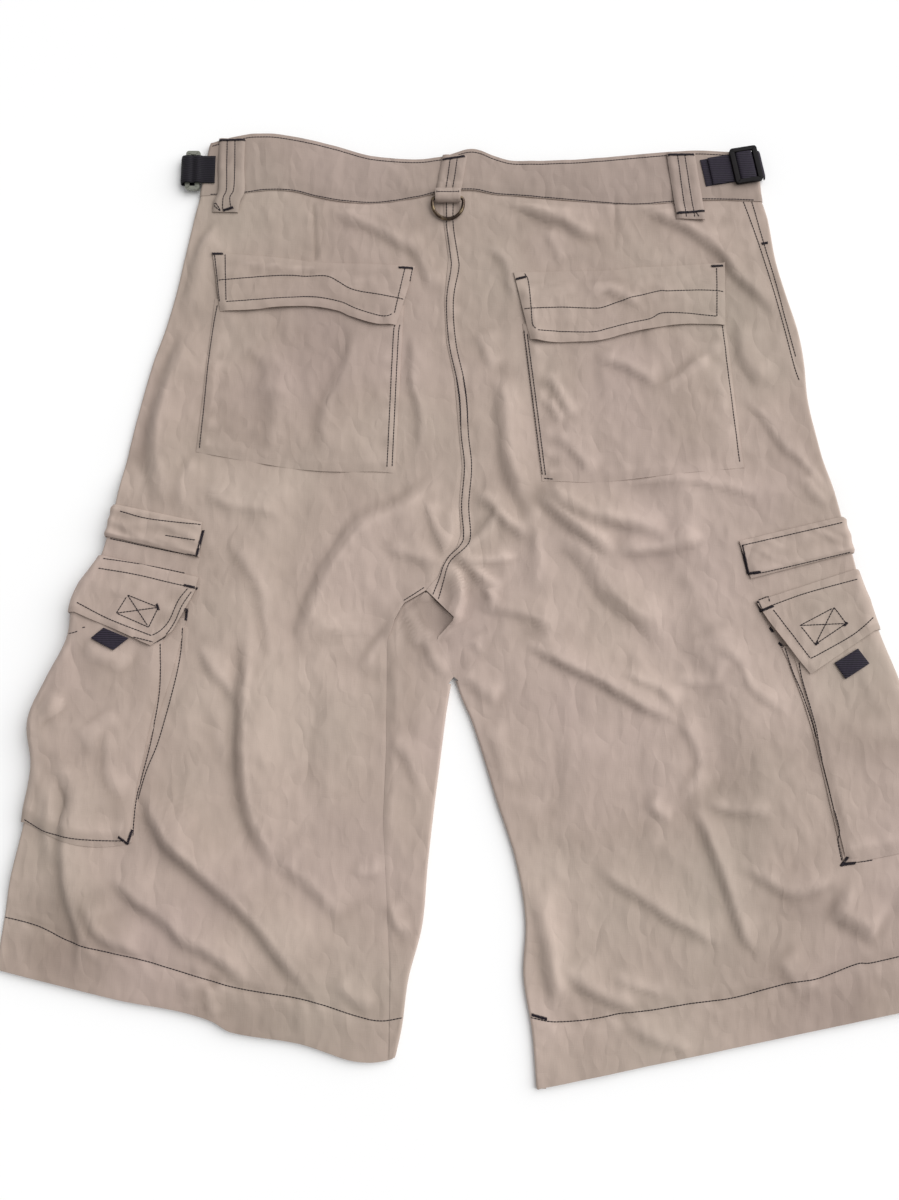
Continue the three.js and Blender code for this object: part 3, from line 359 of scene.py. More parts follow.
creaseStyle = {"scale": 1.45, "crest": 0.7, "flank": 1.4, "foot": 1.1, "uneven": 0.28, "ends": 0.25}
crumple = {"broad": 0.5, "ridges": 0.13, "cross": 0.04, "crossMore": 0.3, "fine": 0.3, "small": 0.04}
seamGrooves = [("leftInseam", 0.05, 3.5), ("centreBack", 0.45, 1.2),       # seam, depth and width
               ("leftDart", 0.9, 1.6), ("rightDart", 0.7, 1.6)]
centreFell = {"wide": 8.3, "high": 0.55, "rope": 0.5}       # the flat seam down the middle of the back


def creaseHeight(x, y):
    total = np.zeros(x.shape)
    for side, steep, gentle, high, points in creases:
        path = rounded(points, 4 * len(points))

        def profile(signed, fraction):
            # the steep flank ends in a crisp foot, the gentle one runs out
            s = side * signed - creaseStyle["crest"] * steep
            flank = 1 - np.clip(-s / (creaseStyle["flank"] * steep), 0, 1) ** creaseStyle["foot"]
            shape = np.where(s < 0, flank, bell(s, gentle))
            uneven = 1 + creaseStyle["uneven"] * cloud(fraction * len(path) / 5, fraction * 0 + high, 41)
            size = creaseStyle["scale"] * high * uneven * shape
            return size * ease(fraction / creaseStyle["ends"]) * ease((1 - fraction) / creaseStyle["ends"])

        addNear(x, y, total, path, 2.2 * gentle, profile)
    return total


def crinkle(x, y):
    # small uneven creases all over, a little longer down the cloth
    a, b = 0.94 * x + 0.34 * y, 0.94 * y - 0.34 * x
    where = ease(0.5 + cloud(x / 52, y / 60, 17))
    ridges = ridged(a / 27, b / 60, 3)
    cross = ridged((0.8 * x - 0.6 * y) / 34, (0.8 * y + 0.6 * x) / 64, 11)
    fine = ridged((x + 0.5 * y) / 18, (y - 0.5 * x) / 24, 13)
    small = cloud(x / 11, y / 19, 5) + 0.6 * cloud(x / 6, y / 9, 8)
    total = crumple["broad"] * cloud(x / 75, y / 120, 7) + crumple["ridges"] * ridges
    total = total + (crumple["cross"] + crumple["crossMore"] * where) * cross
    return total + crumple["fine"] * where * fine + crumple["small"] * small


def seamRelief(x, y):
    total = np.zeros(x.shape)
    for name, deep, wide in seamGrooves:
        addNear(x, y, total, np.array(body[name], float), 12, lambda d, f: -deep * bell(d, wide))

    def fell(d, f):
        across = -d                    # the way runs up, so right of it is positive
        flat = ease((across + 0.4) / 0.8) * ease((centreFell["wide"] + 1 - across) / 1.6)
        rope = cloud(f * 46, across / 9, 21) * bell(across - 4, 11)
        return centreFell["high"] * flat + centreFell["rope"] * rope

    addNear(x, y, total, np.array(body["centreBack"], float), 34, fell)
    return total


crotchLips = [
    # the back panels end in a folded lip over the piece between the legs; side is the lip's side
    {"path": body["rightCrotch"], "side": -1, "high": 2.4, "wide": 7, "deep": 0.6, "from": 0.36},
    {"path": body["leftCrotch"][2:], "side": 1, "high": 1.6, "wide": 5, "deep": 0.5, "from": 0},
]


def lipRelief(x, y):
    total = np.zeros(x.shape)
    for lip in crotchLips:
        def profile(d, f):
            s = lip["side"] * d
            ends = ease((f - lip["from"]) / 0.2) * ease((1 - f) / 0.15)
            raised = lip["high"] * bell(s, lip["wide"])
            sunk = -lip["deep"] * bell(s, 1.6 * lip["wide"])
            return ends * np.where(s > 0, raised, sunk)

        addNear(x, y, total, np.array(lip["path"], float), 24, profile)
    return total


def openness(x, y):
    # creases die out towards the side edges and the gap between the legs
    inner = bySide(x, innerAt("left", y), innerAt("right", y))
    toGap = np.where(y < crotchY, np.abs(x - inner), 1e3)
    return ease((np.minimum(inFromEdge(x, y), toGap) - 2.5) / 16)


hemStitch = {
    "left": [(-352, -261), (-330, -266), (-315, -271), (-290, -282), (-239, -294), (-218, -300),
             (-171, -313), (-133, -319), (-111, -324), (-70, -336), (-47, -334)],
    "right": [(46, -334), (64, -337), (91, -335), (112, -331), (133, -329), (165, -324), (196, -320),
              (235, -310), (260, -306), (288, -296), (301, -295), (352, -283)]}
hemFold = {"high": 0.7, "pucker": 0.55, "dip": 0.45}


def hemRelief(x, y):
    # the turned hem stands up below its stitch line, and the line pulls small puckers
    total = np.zeros(x.shape)
    for side, points in hemStitch.items():
        line = np.array(points, float)
        lineY = np.interp(x, line[:, 0], line[:, 1])
        mine = bySide(x, side == "left", side == "right") & (y < -230)
        below = lineY - y
        pull = bell(below, 9) * cloud((x - 0.5 * below) / 6.5, below / 16 + 30, 14)
        dip = -hemFold["dip"] * bell(below, 2.2)
        total += mine * (hemFold["high"] * ease((below + 1) / 4) + hemFold["pucker"] * pull + dip)
    return total


# painted light (up) and painted shade (down) in broad patches on the cloth: middle, reach and how much
paintedLightSpots = [
    (134, -47, 85, 85, 1.2), (-152, -101, 62, 105, 0.6), (-72, 13, 35, 36, 0.9), (57, -272, 33, 84, 1),
    (-119, 187, 45, 59, -1.3), (-13, 261, 272, 78, -0.4), (224, 235, 41, 52, -1),
    (-302, -275, 37, 36, -2.2), (-265, -286, 37, 28, -1.2), (-101, -339, 110, 24, -1),
    (273, -328, 51, 31, -1.2), (19, 107, 20, 58, 0.5), (76, 200, 49, 51, 0.7), (-30, -33, 15, 13, -2.6),
    (-56, -101, 23, 53, -0.6), (229, -101, 38, 46, 0.8), (-216, 82, 36, 49, -0.8),
    (52, -346, 22, 21, 1.2), (-117, -297, 18, 14, -0.9), (-206, 360, 34, 18, -0.8),
    (191, -93, 32, 34, 0.65), (262, -93, 20, 55, 0.6), (-258, -128, 26, 62, -0.45),
    (-127, 179, 32, 34, -0.45), (-208, -320, 66, 16, -0.6), (-23, -58, 15, 15, -0.8),
    (-44, -132, 13, 70, -0.45), (185, -227, 24, 26, 0.65), (159, 33, 36, 28, 0.65),
    (-305, -293, 36, 24, -0.4), (258, -321, 44, 20, -0.45), (96, -15, 34, 34, 0.35),
]


def toneAndPaintedLightAt(x, y):
    # random tone, plus the painted light and shade of the spots
    total = 0.35 * cloud(x / 46, y / 58, 23)
    for midX, midY, wide, tall, much in paintedLightSpots:
        total = total + much * np.exp(-((x - midX) / wide) ** 2 - ((y - midY) / tall) ** 2)
    return total


def skin(x, y):
    # outer face of the back, with all its creases
    x, y = together(x, y)
    calm = 1 - 0.75 * ease((y - 300) / 16)      # the waistband is stiffer
    calm = calm * (1 - 0.8 * np.exp(-((x + 15) ** 2 + (y - 300) ** 2) / 500))      # flat under the ring
    belowBand = 1 - ease((y - 304) / 14)
    relief = creaseHeight(x, y) * belowBand + crinkle(x, y) * calm
    relief = relief + seamRelief(x, y) + hemRelief(x, y) + lipRelief(x, y)
    return lift(x, y) + backFace + openness(x, y) * relief


def underSkin(x, y):
    # outer face of the front, which lies on the floor at its lowest
    x, y = together(x, y)
    waves = 0.55 + 0.3 * cloud(x / 30, y / 70, 31) + 0.25 * ridged(x / 38, y / 52, 33, 1.7)
    return frontLift(x, y) + openness(x, y) * np.clip(waves, 0, 1.1)


def onBack(x, y, n=0.0):
    x, y = together(x, y)
    return np.stack([x, y + cloth["middle"], skin(x, y) + n], axis=-1)


def onUnder(x, y, n=0.0):
    x, y = together(x, y)
    return np.stack([x, y + cloth["middle"], underSkin(x, y) - n], axis=-1)


def roundEdge(edgeX, way, y, turn, n=0.0):
    centreX = edgeX - way * edgeRadius
    centreZ = lift(centreX, y) + edgeRadius
    r = edgeRadius + n
    x, y, z = np.broadcast_arrays(centreX + way * r * np.sin(turn), y, centreZ + r * np.cos(turn))
    return np.stack([x, y + cloth["middle"], z], axis=-1)


# Making of meshes

def emptySelection():
    if bpy.context.object and bpy.context.object.mode != "OBJECT":
        bpy.ops.object.mode_set(mode="OBJECT")
    bpy.ops.object.select_all(action="DESELECT")


def addObject(name, points, faces, wearAndShade, smooth=50):
    mesh = bpy.data.meshes.new(name)
    mesh.from_pydata((np.asarray(points) / 1000).tolist(), [], faces)
    mesh.attributes.new("wearAndShade", "FLOAT", "POINT").data.foreach_set("value", wearAndShade.astype(np.float32))
    piece = bpy.data.objects.new(name, mesh)
    bpy.context.collection.objects.link(piece)
    emptySelection()
    piece.select_set(True)
    bpy.context.view_layer.objects.active = piece
    bpy.ops.object.shade_smooth_by_angle(angle=math.radians(smooth))
    return piece


def gridNormals(outer, up):
    rows, columns = outer.shape[:2]
    n = np.cross(np.gradient(outer, axis=1), np.gradient(outer, axis=0))
    n /= np.maximum(np.linalg.norm(n, axis=-1, keepdims=True), 1e-9)
    return n * (1 if n[0, int(up[0] * (columns - 1)), 2] * up[1] > 0 else -1)


def wearAndFoldShadeOf(outer, n):
    # how far each place stands over its surroundings: ridges rub pale as wear, and folds get painted shade
    far = 3
    padded = np.pad(outer, ((far, far), (far, far), (0, 0)), mode="edge")
    around = padded[2 * far:, far:-far] + padded[:-2 * far, far:-far]
    around = around + padded[far:-far, 2 * far:] + padded[far:-far, :-2 * far]
    high = ((outer - around / 4) * n).sum(axis=-1)
    high[:far], high[-far:], high[:, :far], high[:, -far:] = 0, 0, 0, 0
    return np.clip(high / 0.8, -1, 1)


def shell(outer, thick=wall, up=(0, 1), keep=None):
    # a wall of cloth under an outer face: points, faces, and wear with painted light and shade, the border
    # eased like a folded edge
    rows, columns = outer.shape[:2]
    n = gridNormals(outer, up)
    inner = outer - n * thick
    faceUp = ease(n[..., 2] + 0.6)       # the uneven tone and the painted light and shade are on the back alone
    tone = toneAndPaintedLightAt(outer[..., 0], outer[..., 1] - cloth["middle"]) * faceUp
    # wear on the ridges, painted shade in the folds and painted light and shade in patches, kept as one
    # value
    wearAndShade = np.concatenate([(wearAndFoldShadeOf(outer, n) + tone).ravel(), np.zeros(rows * columns)])
    rim = np.zeros((rows, columns, 1))
    rim[[0, -1]] = rim[:, [0, -1]] = 0.22 * thick
    points = np.concatenate([(outer - n * rim).reshape(-1, 3), (inner + n * rim).reshape(-1, 3)])
    points[:, 2] = np.maximum(points[:, 2], 0.02)       # nothing goes through the floor
    i, j = np.meshgrid(np.arange(rows - 1), np.arange(columns - 1), indexing="ij")
    corner = (i * columns + j).ravel()
    quads = np.stack([corner, corner + 1, corner + columns + 1, corner + columns], axis=1)
    if keep is not None:
        quads = quads[keep(i, j).ravel()]
    direct = np.cross(outer[0, 1] - outer[0, 0], outer[1, 0] - outer[0, 0]) @ n[0, 0] > 0
    if not direct:
        quads = quads[:, ::-1]
    a, b = quads.ravel(), np.roll(quads, -1, axis=1).ravel()
    total = rows * columns
    lonely = ~np.isin(a * total + b, b * total + a)
    a, b = a[lonely], b[lonely]
    sides = np.stack([b, a, a + total, b + total], axis=1)
    faces = np.concatenate([quads, quads[:, ::-1] + total, sides])
    used, packed = np.unique(faces, return_inverse=True)
    return points[used], packed.reshape(faces.shape).tolist(), wearAndShade[used]


def gridArea(outer):
    a, b = outer[1:, :-1] - outer[:-1, :-1], outer[:-1, 1:] - outer[:-1, :-1]
    c, d = outer[1:, :-1] - outer[1:, 1:], outer[:-1, 1:] - outer[1:, 1:]
    cells = np.linalg.norm(np.cross(a, b), axis=-1) + np.linalg.norm(np.cross(c, d), axis=-1)
    return cells.sum() / 2


def shortsPiece(name, outer, material, thick=wall, up=(0, 1), keep=None, on=()):
    # one cloth piece, which stands for the node of its own name
    piece = addObject(name + "_cloth", *shell(outer, thick, up, keep))
    piece.data.materials.append(material)
    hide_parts(name)
    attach(piece, "shorts")
    print(name, len(piece.data.polygons), "faces,", round(gridArea(outer) / 1e6, 4), "m2")


# The four panels of the body

def seamAt(x):
    # the upper edge of the panels, just under the waistband
    return waistAt(x, "bottom") - cloth["waistSeam"]


def bodyRows(side, t):
    # rows of one half, t from 0 at the hem by way of 1 and 2 at the crotch to 3 at the waist seam
    leg, crotch, seat = np.clip(t, 0, 1), np.clip(t - 1, 0, 1), np.clip(t - 2, 0, 1)
    if side == "left":
        x, y = along(body["leftInseam"], leg)
    else:
        y = mix(body["hemInner"]["right"], crotchY, leg)
        x = innerAt("right", y)
    chain = np.array(body[side + "Crotch"], float)
    step = crotch * (len(chain) - 1)
    inCrotch = t > 1
    x = np.where(inCrotch, np.interp(step, range(len(chain)), chain[:, 0]), x)
    y = np.where(inCrotch, np.interp(step, range(len(chain)), chain[:, 1]), y)
    seatX, seatY = along(body["centreBack"], seat)
    inSeat = t > 2
    x, y = np.where(inSeat, seatX, x), np.where(inSeat, seatY, y)
    edgeWaist = seamAt(outward(side) * body["waistEndX"])
    edgeY = mix(body["hem"][side], crotchY, leg)
    edgeY = edgeY + mix(0, meetY - crotchY, crotch) + mix(0, edgeWaist - meetY, seat)
    hem = np.clip(1 - 3.25 * t, 0, 1) ** 2 * (side == "left")
    return {"t": t, "x": x[:, None], "y": y[:, None], "edgeY": edgeY[:, None], "wave": seat[:, None] ** 2,
            "hem": hem[:, None]}


def rowY(side, row, x):
    edgeX = outward(side) * edgeAt(side, row["edgeY"])
    y = mix(row["y"], row["edgeY"], (x - row["x"]) / (edgeX - row["x"]))
    endX, endY = body["centreBack"][-1]
    straight = mix(endY, seamAt(outward(side) * body["waistEndX"]), (x - endX) / (edgeX - endX))
    return y + row["wave"] * (seamAt(x) - straight) + row["hem"] * follow(body["hemWave"], "x", x, "up")


def roundSide(side, row, yOf, backCount, underCount, under, n=0.0):
    # over the back from the row's start, round the side edge and underneath
    way = outward(side)
    edgeX = way * edgeAt(side, row["edgeY"])
    tangentX = edgeX - way * edgeRadius
    x = mix(row["x"], tangentX, np.linspace(0, 1, backCount + 1))
    turn = np.linspace(0, math.pi, 9)[1:]
    xUnder = tangentX - way * under * np.linspace(0, 1, underCount + 1)[1:]
    return np.concatenate([onBack(x, yOf(x), n), roundEdge(edgeX, way, yOf(tangentX), turn, n),
                           onUnder(xUnder, yOf(xUnder), n)], axis=1)


panel = {"rows": (102, 26, 128), "across": 126, "frontRows": (64, 18, 76), "frontAcross": 62}


def rowMarks(counts):
    # t for each row, with its own count in each of the three parts
    parts = [np.linspace(k, k + 1, count + 1)[:-1] for k, count in enumerate(counts)]
    return np.concatenate(parts + [[3.0]])


def backLeftGrid():
    row = bodyRows("left", rowMarks(panel["rows"]))
    yOf = lambda x: rowY("left", row, x)
    cut = dict(row, x=row["x"] - seam / 2)
    return roundSide("left", cut, yOf, panel["across"], 14, body["outseamUnder"]["left"])


def backRightGrid():
    # it also turns under at the inner edge of the leg
    row = bodyRows("right", rowMarks(panel["rows"]))
    yOf = lambda x: rowY("right", row, x)
    onLeg = row["t"][:, None] <= 1
    edgeX = row["x"] + seam / 2
    innerUnder = onUnder(edgeX + edgeRadius + body["turnUnder"] * np.linspace(1, 0, 4)[:-1], yOf(edgeX))
    inner = roundEdge(edgeX, -1, yOf(edgeX), np.linspace(math.pi, 0, 9)[:-1])
    cut = dict(row, x=edgeX + np.where(onLeg, edgeRadius, 0))
    outer = roundSide("right", cut, yOf, panel["across"], 2, body["outseamUnder"]["right"])
    return np.concatenate([innerUnder, inner, outer], axis=1)


def frontLeftGrid():
    # it wraps the inner edge of the leg and shows on the back up to the inseam
    t = rowMarks(panel["rows"])
    row = bodyRows("left", t)
    edgeX = innerAt("left", np.minimum(row["y"], crotchY)) - seam / 2
    yOf = lambda x: rowY("left", row, x)
    f = np.linspace(0, 1, 17)
    legX = mix(row["x"] + seam / 2, edgeX - edgeRadius, f)
    start, end = np.array(body["tongueStart"], float), np.array(body["tongue"], float)
    step = np.clip(t - 1, 0, 1) * 5
    pick = lambda chain, k: np.interp(step, range(6), chain[:, k])[:, None]
    tongueX = mix(pick(start, 0) + seam / 2, pick(end, 0) - seam / 2, f)
    tongueY = mix(pick(start, 1) - seam, pick(end, 1), f)
    onLeg = t[:, None] <= 1
    back = onBack(np.where(onLeg, legX, tongueX), np.where(onLeg, yOf(legX), tongueY))
    wrap = roundEdge(edgeX, 1, yOf(edgeX), np.linspace(0, math.pi, 9)[1:-1])
    outerX = -edgeAt("left", row["edgeY"]) + edgeRadius + body["outseamUnder"]["left"] + seam
    innerX = np.where(onLeg, edgeX - edgeRadius, centreFrontX - seam / 2)
    x = mix(innerX, outerX, np.linspace(0, 1, panel["frontAcross"] + 1))
    front = onUnder(x, yOf(x))
    return np.concatenate([back, wrap, front], axis=1)


def frontRightGrid():
    row = bodyRows("right", rowMarks(panel["frontRows"]))
    outerX = edgeAt("right", row["edgeY"]) - edgeRadius - body["outseamUnder"]["right"] - seam
    legX = row["x"] + seam / 2 + edgeRadius + body["turnUnder"] + seam
    innerX = np.where(row["t"][:, None] <= 1, legX, centreFrontX + seam / 2)
    x = mix(outerX, innerX, np.linspace(0, 1, panel["frontAcross"] + 1))
    return onUnder(x, rowY("right", row, x))


tongueColumns, wrapColumns, innerColumns = 16, 7, 11


def keepLeft(i, j):
    # the wrap ends with the leg, and the part on the back where the seams meet
    onBackPart = j < tongueColumns
    onWrap = (j >= tongueColumns) & (j <= tongueColumns + wrapColumns)
    legRows, crotchRows = panel["rows"][0], panel["rows"][0] + panel["rows"][1]
    return ~((onWrap & (i >= legRows)) | (onBackPart & (i >= crotchRows)))


def keepRight(i, j):
    # above the leg the panel has no inner edge to turn round
    return ~((i >= panel["rows"][0]) & (j < innerColumns))


# Waistband

band = {"across": 220, "rows": 16, "turnUnder": 8, "frontDrop": 8, "endX": 235}


def bandGrid():
    t = np.linspace(0, 1, band["rows"] + 1)[:, None]
    yAt = lambda x: mix(waistAt(x, "bottom"), waistAt(x, "top"), t)
    ends = {}
    for side in ("left", "right"):
        way = outward(side)
        edgeX = way * edgeAt(side, yAt(way * band["endX"]))
        ends[side] = (way, edgeX, edgeX - way * edgeRadius)
    x = mix(ends["left"][2], ends["right"][2], np.linspace(0, 1, band["across"] + 1))
    crown = 0.5 * np.sin(math.pi * t) - 0.35 * bell(t - 0.08, 0.05) - 0.3 * bell(t - 0.93, 0.04)
    pulls = 0.35 * cloud(x / 9, t * 2.2 + 40, 51) * (0.4 + 0.6 * np.abs(2 * t - 1))
    pulls = pulls + 0.5 * cloud(x / 34, t * 1.2 + 9, 52)
    parts = [onBack(x, yAt(x), proud)]
    parts[0][..., 2] += (crown + pulls) * ease((240 - np.abs(x)) / 16)
    for side in ("left", "right"):
        way, edgeX, tangentX = ends[side]
        turn = np.linspace(0, math.pi, 9)[1:]
        curve = roundEdge(edgeX, way, yAt(tangentX), turn, proud)
        xUnder = tangentX - way * band["turnUnder"] * np.linspace(0.25, 1, 4)
        under = onUnder(xUnder, yAt(tangentX), proud)
        end = np.concatenate([curve, under], axis=1)
        parts = [end[:, ::-1]] + parts if side == "left" else parts + [end]
    return np.concatenate(parts, axis=1)


def bandFrontGrid(side):
    way = outward(side)
    t = np.linspace(0, 1, 11)[:, None]
    edgeY = mix(waistAt(way * band["endX"], "bottom"), waistAt(way * band["endX"], "top"), t)
    outerX = way * (edgeAt(side, edgeY) - edgeRadius - band["turnUnder"] - seam)
    innerX = centreFrontX + way * seam / 2
    x = mix(innerX, outerX, np.linspace(0, 1, 71))
    y = mix(waistAt(x, "bottom"), waistAt(x, "top") - band["frontDrop"], t)
    return onUnder(x, y, proud)


# Pieces sewn flat on the back: their lower and upper edges from the inner end to the outer one

patches = {
    "back_pocket_left": {
        "low": [(-57, 80), (-74, 81), (-109, 81), (-143, 84), (-177, 90), (-216, 97)],
        "high": [(-51, 222), (-100, 224), (-150, 226), (-206, 228)], "cells": (50, 56),
        "flat": (0.164, 0.158), "area": 0.0226},
    "back_pocket_right": {
        "low": [(60, 73), (99, 72), (137, 75), (174, 79), (221, 84)],
        "high": [(46, 206), (100, 209), (150, 211), (211, 214)], "cells": (48, 58),
        "flat": (0.17, 0.145), "area": 0.0216},
    "back_flap_left": {
        "low": [(-57, 204), (-75, 205), (-94, 211), (-105, 216), (-127, 219.5), (-152, 219), (-171, 217),
                (-201, 216)],
        "high": [(-42, 256), (-82, 258), (-123, 259), (-151, 263), (-209, 268)], "cells": (20, 64),
        "flat": (0.168, 0.062), "area": 0.0079},
    "back_flap_right": {
        "low": [(52, 192), (68, 189), (88, 189), (108, 190), (130, 196), (152, 201), (177, 204.5),
                (211, 204)],
        "high": [(39, 250), (69, 251), (116, 252), (141, 255), (166, 256), (213, 259)], "cells": (20, 66),
        "flat": (0.174, 0.064), "area": 0.0095},
}


def smoothEdge(points, count):
    return evenly(rounded(points, 8 * len(points)), count)


def patchGrid(facts, top):
    # top(s, t) is the height of the upper face over the skin
    rows, columns = facts["cells"]
    lowX, lowY = smoothEdge(facts["low"], columns + 1)
    highX, highY = smoothEdge(facts["high"], columns + 1)
    t = np.linspace(0, 1, rows + 1)[:, None]
    s = np.linspace(0, 1, columns + 1)[None, :]
    x, y = mix(lowX, highX, t), mix(lowY, highY, t)
    return onBack(x, y, top(s, t, x, y))


def pocketTop(s, t, x, y):
    # fullness in the middle, and short puckers along the sewn edges
    toSide = np.minimum(s, 1 - s)
    full = 0.9 * np.sin(math.pi * s) * ease(t / 0.2)
    sides = 1.3 * cloud(y / 8, x / 24, 61) * bell(toSide, 0.09) * ease(toSide / 0.05)
    hemEdge = 0.4 * cloud(x / 8, y / 20, 62) * bell(t, 0.08)
    runs = 0.5 * cloud(x / 13, y / 75, 63)
    press = -0.35 * bell(toSide - 0.02, 0.012)
    # the sewn edges are pressed flat on the panel
    sewn = np.minimum(ease((t + 0.01) / 0.07), ease((toSide + 0.012) / 0.05))
    return mix(0.55, ply + wall + full, sewn) + sides + hemEdge + runs * ease(toSide / 0.1) + press * sewn


def flapTop(s, t, x, y):
    high = mix(ply + wall + ply, ply, ease((t - 0.5) / 0.5)) + wall
    curl = (1.2 + 0.9 * cloud(x / 26, 0 * y + 3, 71)) * bell(t, 0.22)
    puckers = 0.45 * cloud(x / 7, y / 15, 72) * (bell(t, 0.25) + 0.5 * bell(t - 0.55, 0.2))
    lines = -0.4 * bell(t - 0.2, 0.04) - 0.3 * bell(t - 0.6, 0.05)
    tucks = 0.4 * ridged((x + y) / 24, (y - 0.3 * x) / 7, 74)
    tucks = tucks * ease((t - 0.5) / 0.15) * ease((1 - t) / 0.12)
    toSide = np.minimum(s, 1 - s)
    sewn = ease((toSide + 0.008) / 0.05)
    ends = mix(2.5, 1.5, ease((t - 0.3) / 0.4))
    return mix(ends, high + curl, sewn) + puckers + tucks + lines + 0.5 * np.sin(math.pi * s) * (1 - t)


# Belt loops, from above: middle line and width, with the sewn ends pressed down

beltLoops = {
    "belt_loop_left": {"line": [(-200, 304), (-198.5, 313), (-195, 323), (-196, 345), (-196, 370)],
                       "wide": 22, "flat": (0.023, 0.07), "area": 0.00148},
    "belt_loop_centre": {"line": [(-15, 318.8), (-13, 329), (-11, 342), (-9, 354)],
                         "wide": 21, "flat": (0.022, 0.042), "area": 0.0008},
    "belt_loop_right": {"line": [(186, 296), (184.5, 315), (182, 337), (180, 357)],
                        "wide": 24, "flat": (0.025, 0.065), "area": 0.00148},
}
loopThick = 1.6


def loopGrid(facts):
    rows, columns = 34, 16
    x, y = smoothEdge(facts["line"], rows + 1)
    t = np.linspace(0, 1, rows + 1)[:, None]
    s = np.linspace(-1, 1, columns + 1)[None, :]
    across = s * facts["wide"] / 2
    gx, gy = x[:, None] + across, y[:, None] - across * 0.02
    high = proud + ply + loopThick + 0.7 * np.sin(math.pi * t) * (1 - 0.3 * s * s)
    seams = -0.3 * bell(np.abs(s) - 0.3, 0.09) - 0.9 * ease((np.abs(s) - 0.78) / 0.22) - bell(t, 0.07)
    ripple = 0.3 * cloud(gx / 8, gy / 7, 81)
    base = onBack(gx, gy)
    # the loop bridges the small creases of what it lies on
    flatter = onBack(np.broadcast_to(x[:, None], gx.shape), gy)[..., 2]
    base[..., 2] = np.maximum(base[..., 2], flatter) + high + seams + ripple
    return base


# Pieces that run round a side edge, as in the solids: x and y on the back, edgeY at the side edge

cargo = {
    "left": {
        "band": {"under": 70, "rows": [(209, 10, 27), (208, 38, 53)],
                 "flat": (0.155, 0.03), "area": 0.0043},
        "pocket": {"under": 92, "sag": 9,
                   "rows": [(254, -209, -192), (250, -166, -150), (243, -128, -110), (237, -98, -80),
                            (235, -62, -46), (233, -42, -24)],
                   "flat": (0.19, 0.185), "area": 0.0334},
        "flap": {"under": 92,
                 "rows": [(243, -60, -33), (227, -49, -22), (219, -34, -10), (211, -17, 3), (209, -6, 12)],
                 "flat": (0.19, 0.064), "area": 0.0110},
        "gusset": [(252, 264, -208), (246, 258, -146), (237, 252, -116), (228, 248, -86), (219.5, 246, -50),
                   (217, 244, -38)],
        "tab": [(-259.5, -54.5), (-279, -46.5), (-288.5, -54.5), (-270.5, -64)]},
    "right": {
        "band": {"under": 70, "rows": [(221, -7, 14), (213, 23, 43)],
                 "flat": (0.165, 0.034), "area": 0.00525},
        "pocket": {"under": 92,
                   "rows": [(283, -224, -212), (275, -180, -168), (266, -135, -118), (259, -100, -80),
                            (252, -72, -50), (248, -56, -34)],
                   "flat": (0.18, 0.18), "area": 0.0315},
        "flap": {"under": 92,
                 "rows": [(262, -82, -47), (253, -70, -35), (244, -57, -23), (233, -41, -11),
                          (224, -25, 1)],
                 "flat": (0.18, 0.068), "area": 0.0117},
        "gusset": [(281, 292, -222), (275, 286, -190), (265, 278, -136), (257, 270, -104), (247, 262, -72),
                   (242, 258, -60)],
        "tab": [(280.5, -73.5), (299, -62.5), (307, -74), (288, -86)]},
}


def spread(rows, count):
    # each column of a short table, at more rows
    rows = np.array(rows, float)
    at = np.linspace(0, len(rows) - 1, count)
    return [np.interp(at, range(len(rows)), column)[:, None] for column in rows.T]


def cargoGrid(side, facts, counts, top):
    # top(t, u) is the height of the outer face over the leg, t up the piece and u across all of it
    count, backCount, underCount = counts
    startX, startY, edgeY = spread(facts["rows"], count + 1)
    row = {"x": outward(side) * startX, "y": startY, "edgeY": edgeY}
    edgeX = edgeAt(side, edgeY)
    sag = facts.get("sag", 0) * 4 * np.linspace(1, 0, count + 1)[:, None] ** 3

    def yOf(x):
        f = (np.abs(x) - startX) / (edgeX - startX)
        return mix(startY, edgeY, f) - sag * np.clip(f, 0, 1) * (1 - np.clip(f, 0, 1))

    base = roundSide(side, row, yOf, backCount, underCount, facts["under"])
    n = gridNormals(base, (0, 1))
    t = np.linspace(0, 1, count + 1)[:, None]
    u = np.linspace(0, 1, base.shape[1])[None, :]
    return base + n * top(t, u, base)[..., None]


tabThick = 1.4


def bandTop(t, u, at):
    # the padded band has ribs of gathered cloth between its stitch lines
    x, y = at[..., 0], at[..., 1]
    ribs = 0.3 * np.sin(t * 15 + 2.6 * cloud(x / 34, y / 30, 91))
    gathers = 0.5 * cloud((x + 1.6 * y) / 9, y / 16, 92)
    fade = ease(u / 0.05) * ease(t / 0.1) * ease((1 - t) / 0.1)
    return ply + wall + (0.9 + ribs + gathers) * fade


def cargoPocketTop(t, u, at):
    # the bellows stand a little proud, softly crumpled
    free = 1 - 0.85 * ease((u - 0.52) / 0.12)       # the underside lies flat
    full = 1.5 * free * np.sin(math.pi * np.clip(u * 1.15, 0, 1)) * ease(t / 0.3) * ease((1.2 - t) / 0.5)
    x, y = at[..., 0], at[..., 1]
    folds = 0.4 * cloud(x / 26, y / 22, 94) + 0.35 * ridged(x / 30, y / 34, 95, 1.7)
    edge = 0.35 * cloud(x / 9, y / 7, 96)
    border = np.minimum(ease(u / 0.06), ease((1.02 - u) / 0.06)) * ease(t / 0.07)
    # the lower edge is sewn flat to the leg
    rise = mix(0.6, pocketRise + wall, np.maximum(ease((t + 0.005) / 0.05), 1 - free))
    rise = rise - 0.9 * (1 - ease(u / 0.05))
    return rise + (full + free * folds) * border + edge * free * (1 - border)


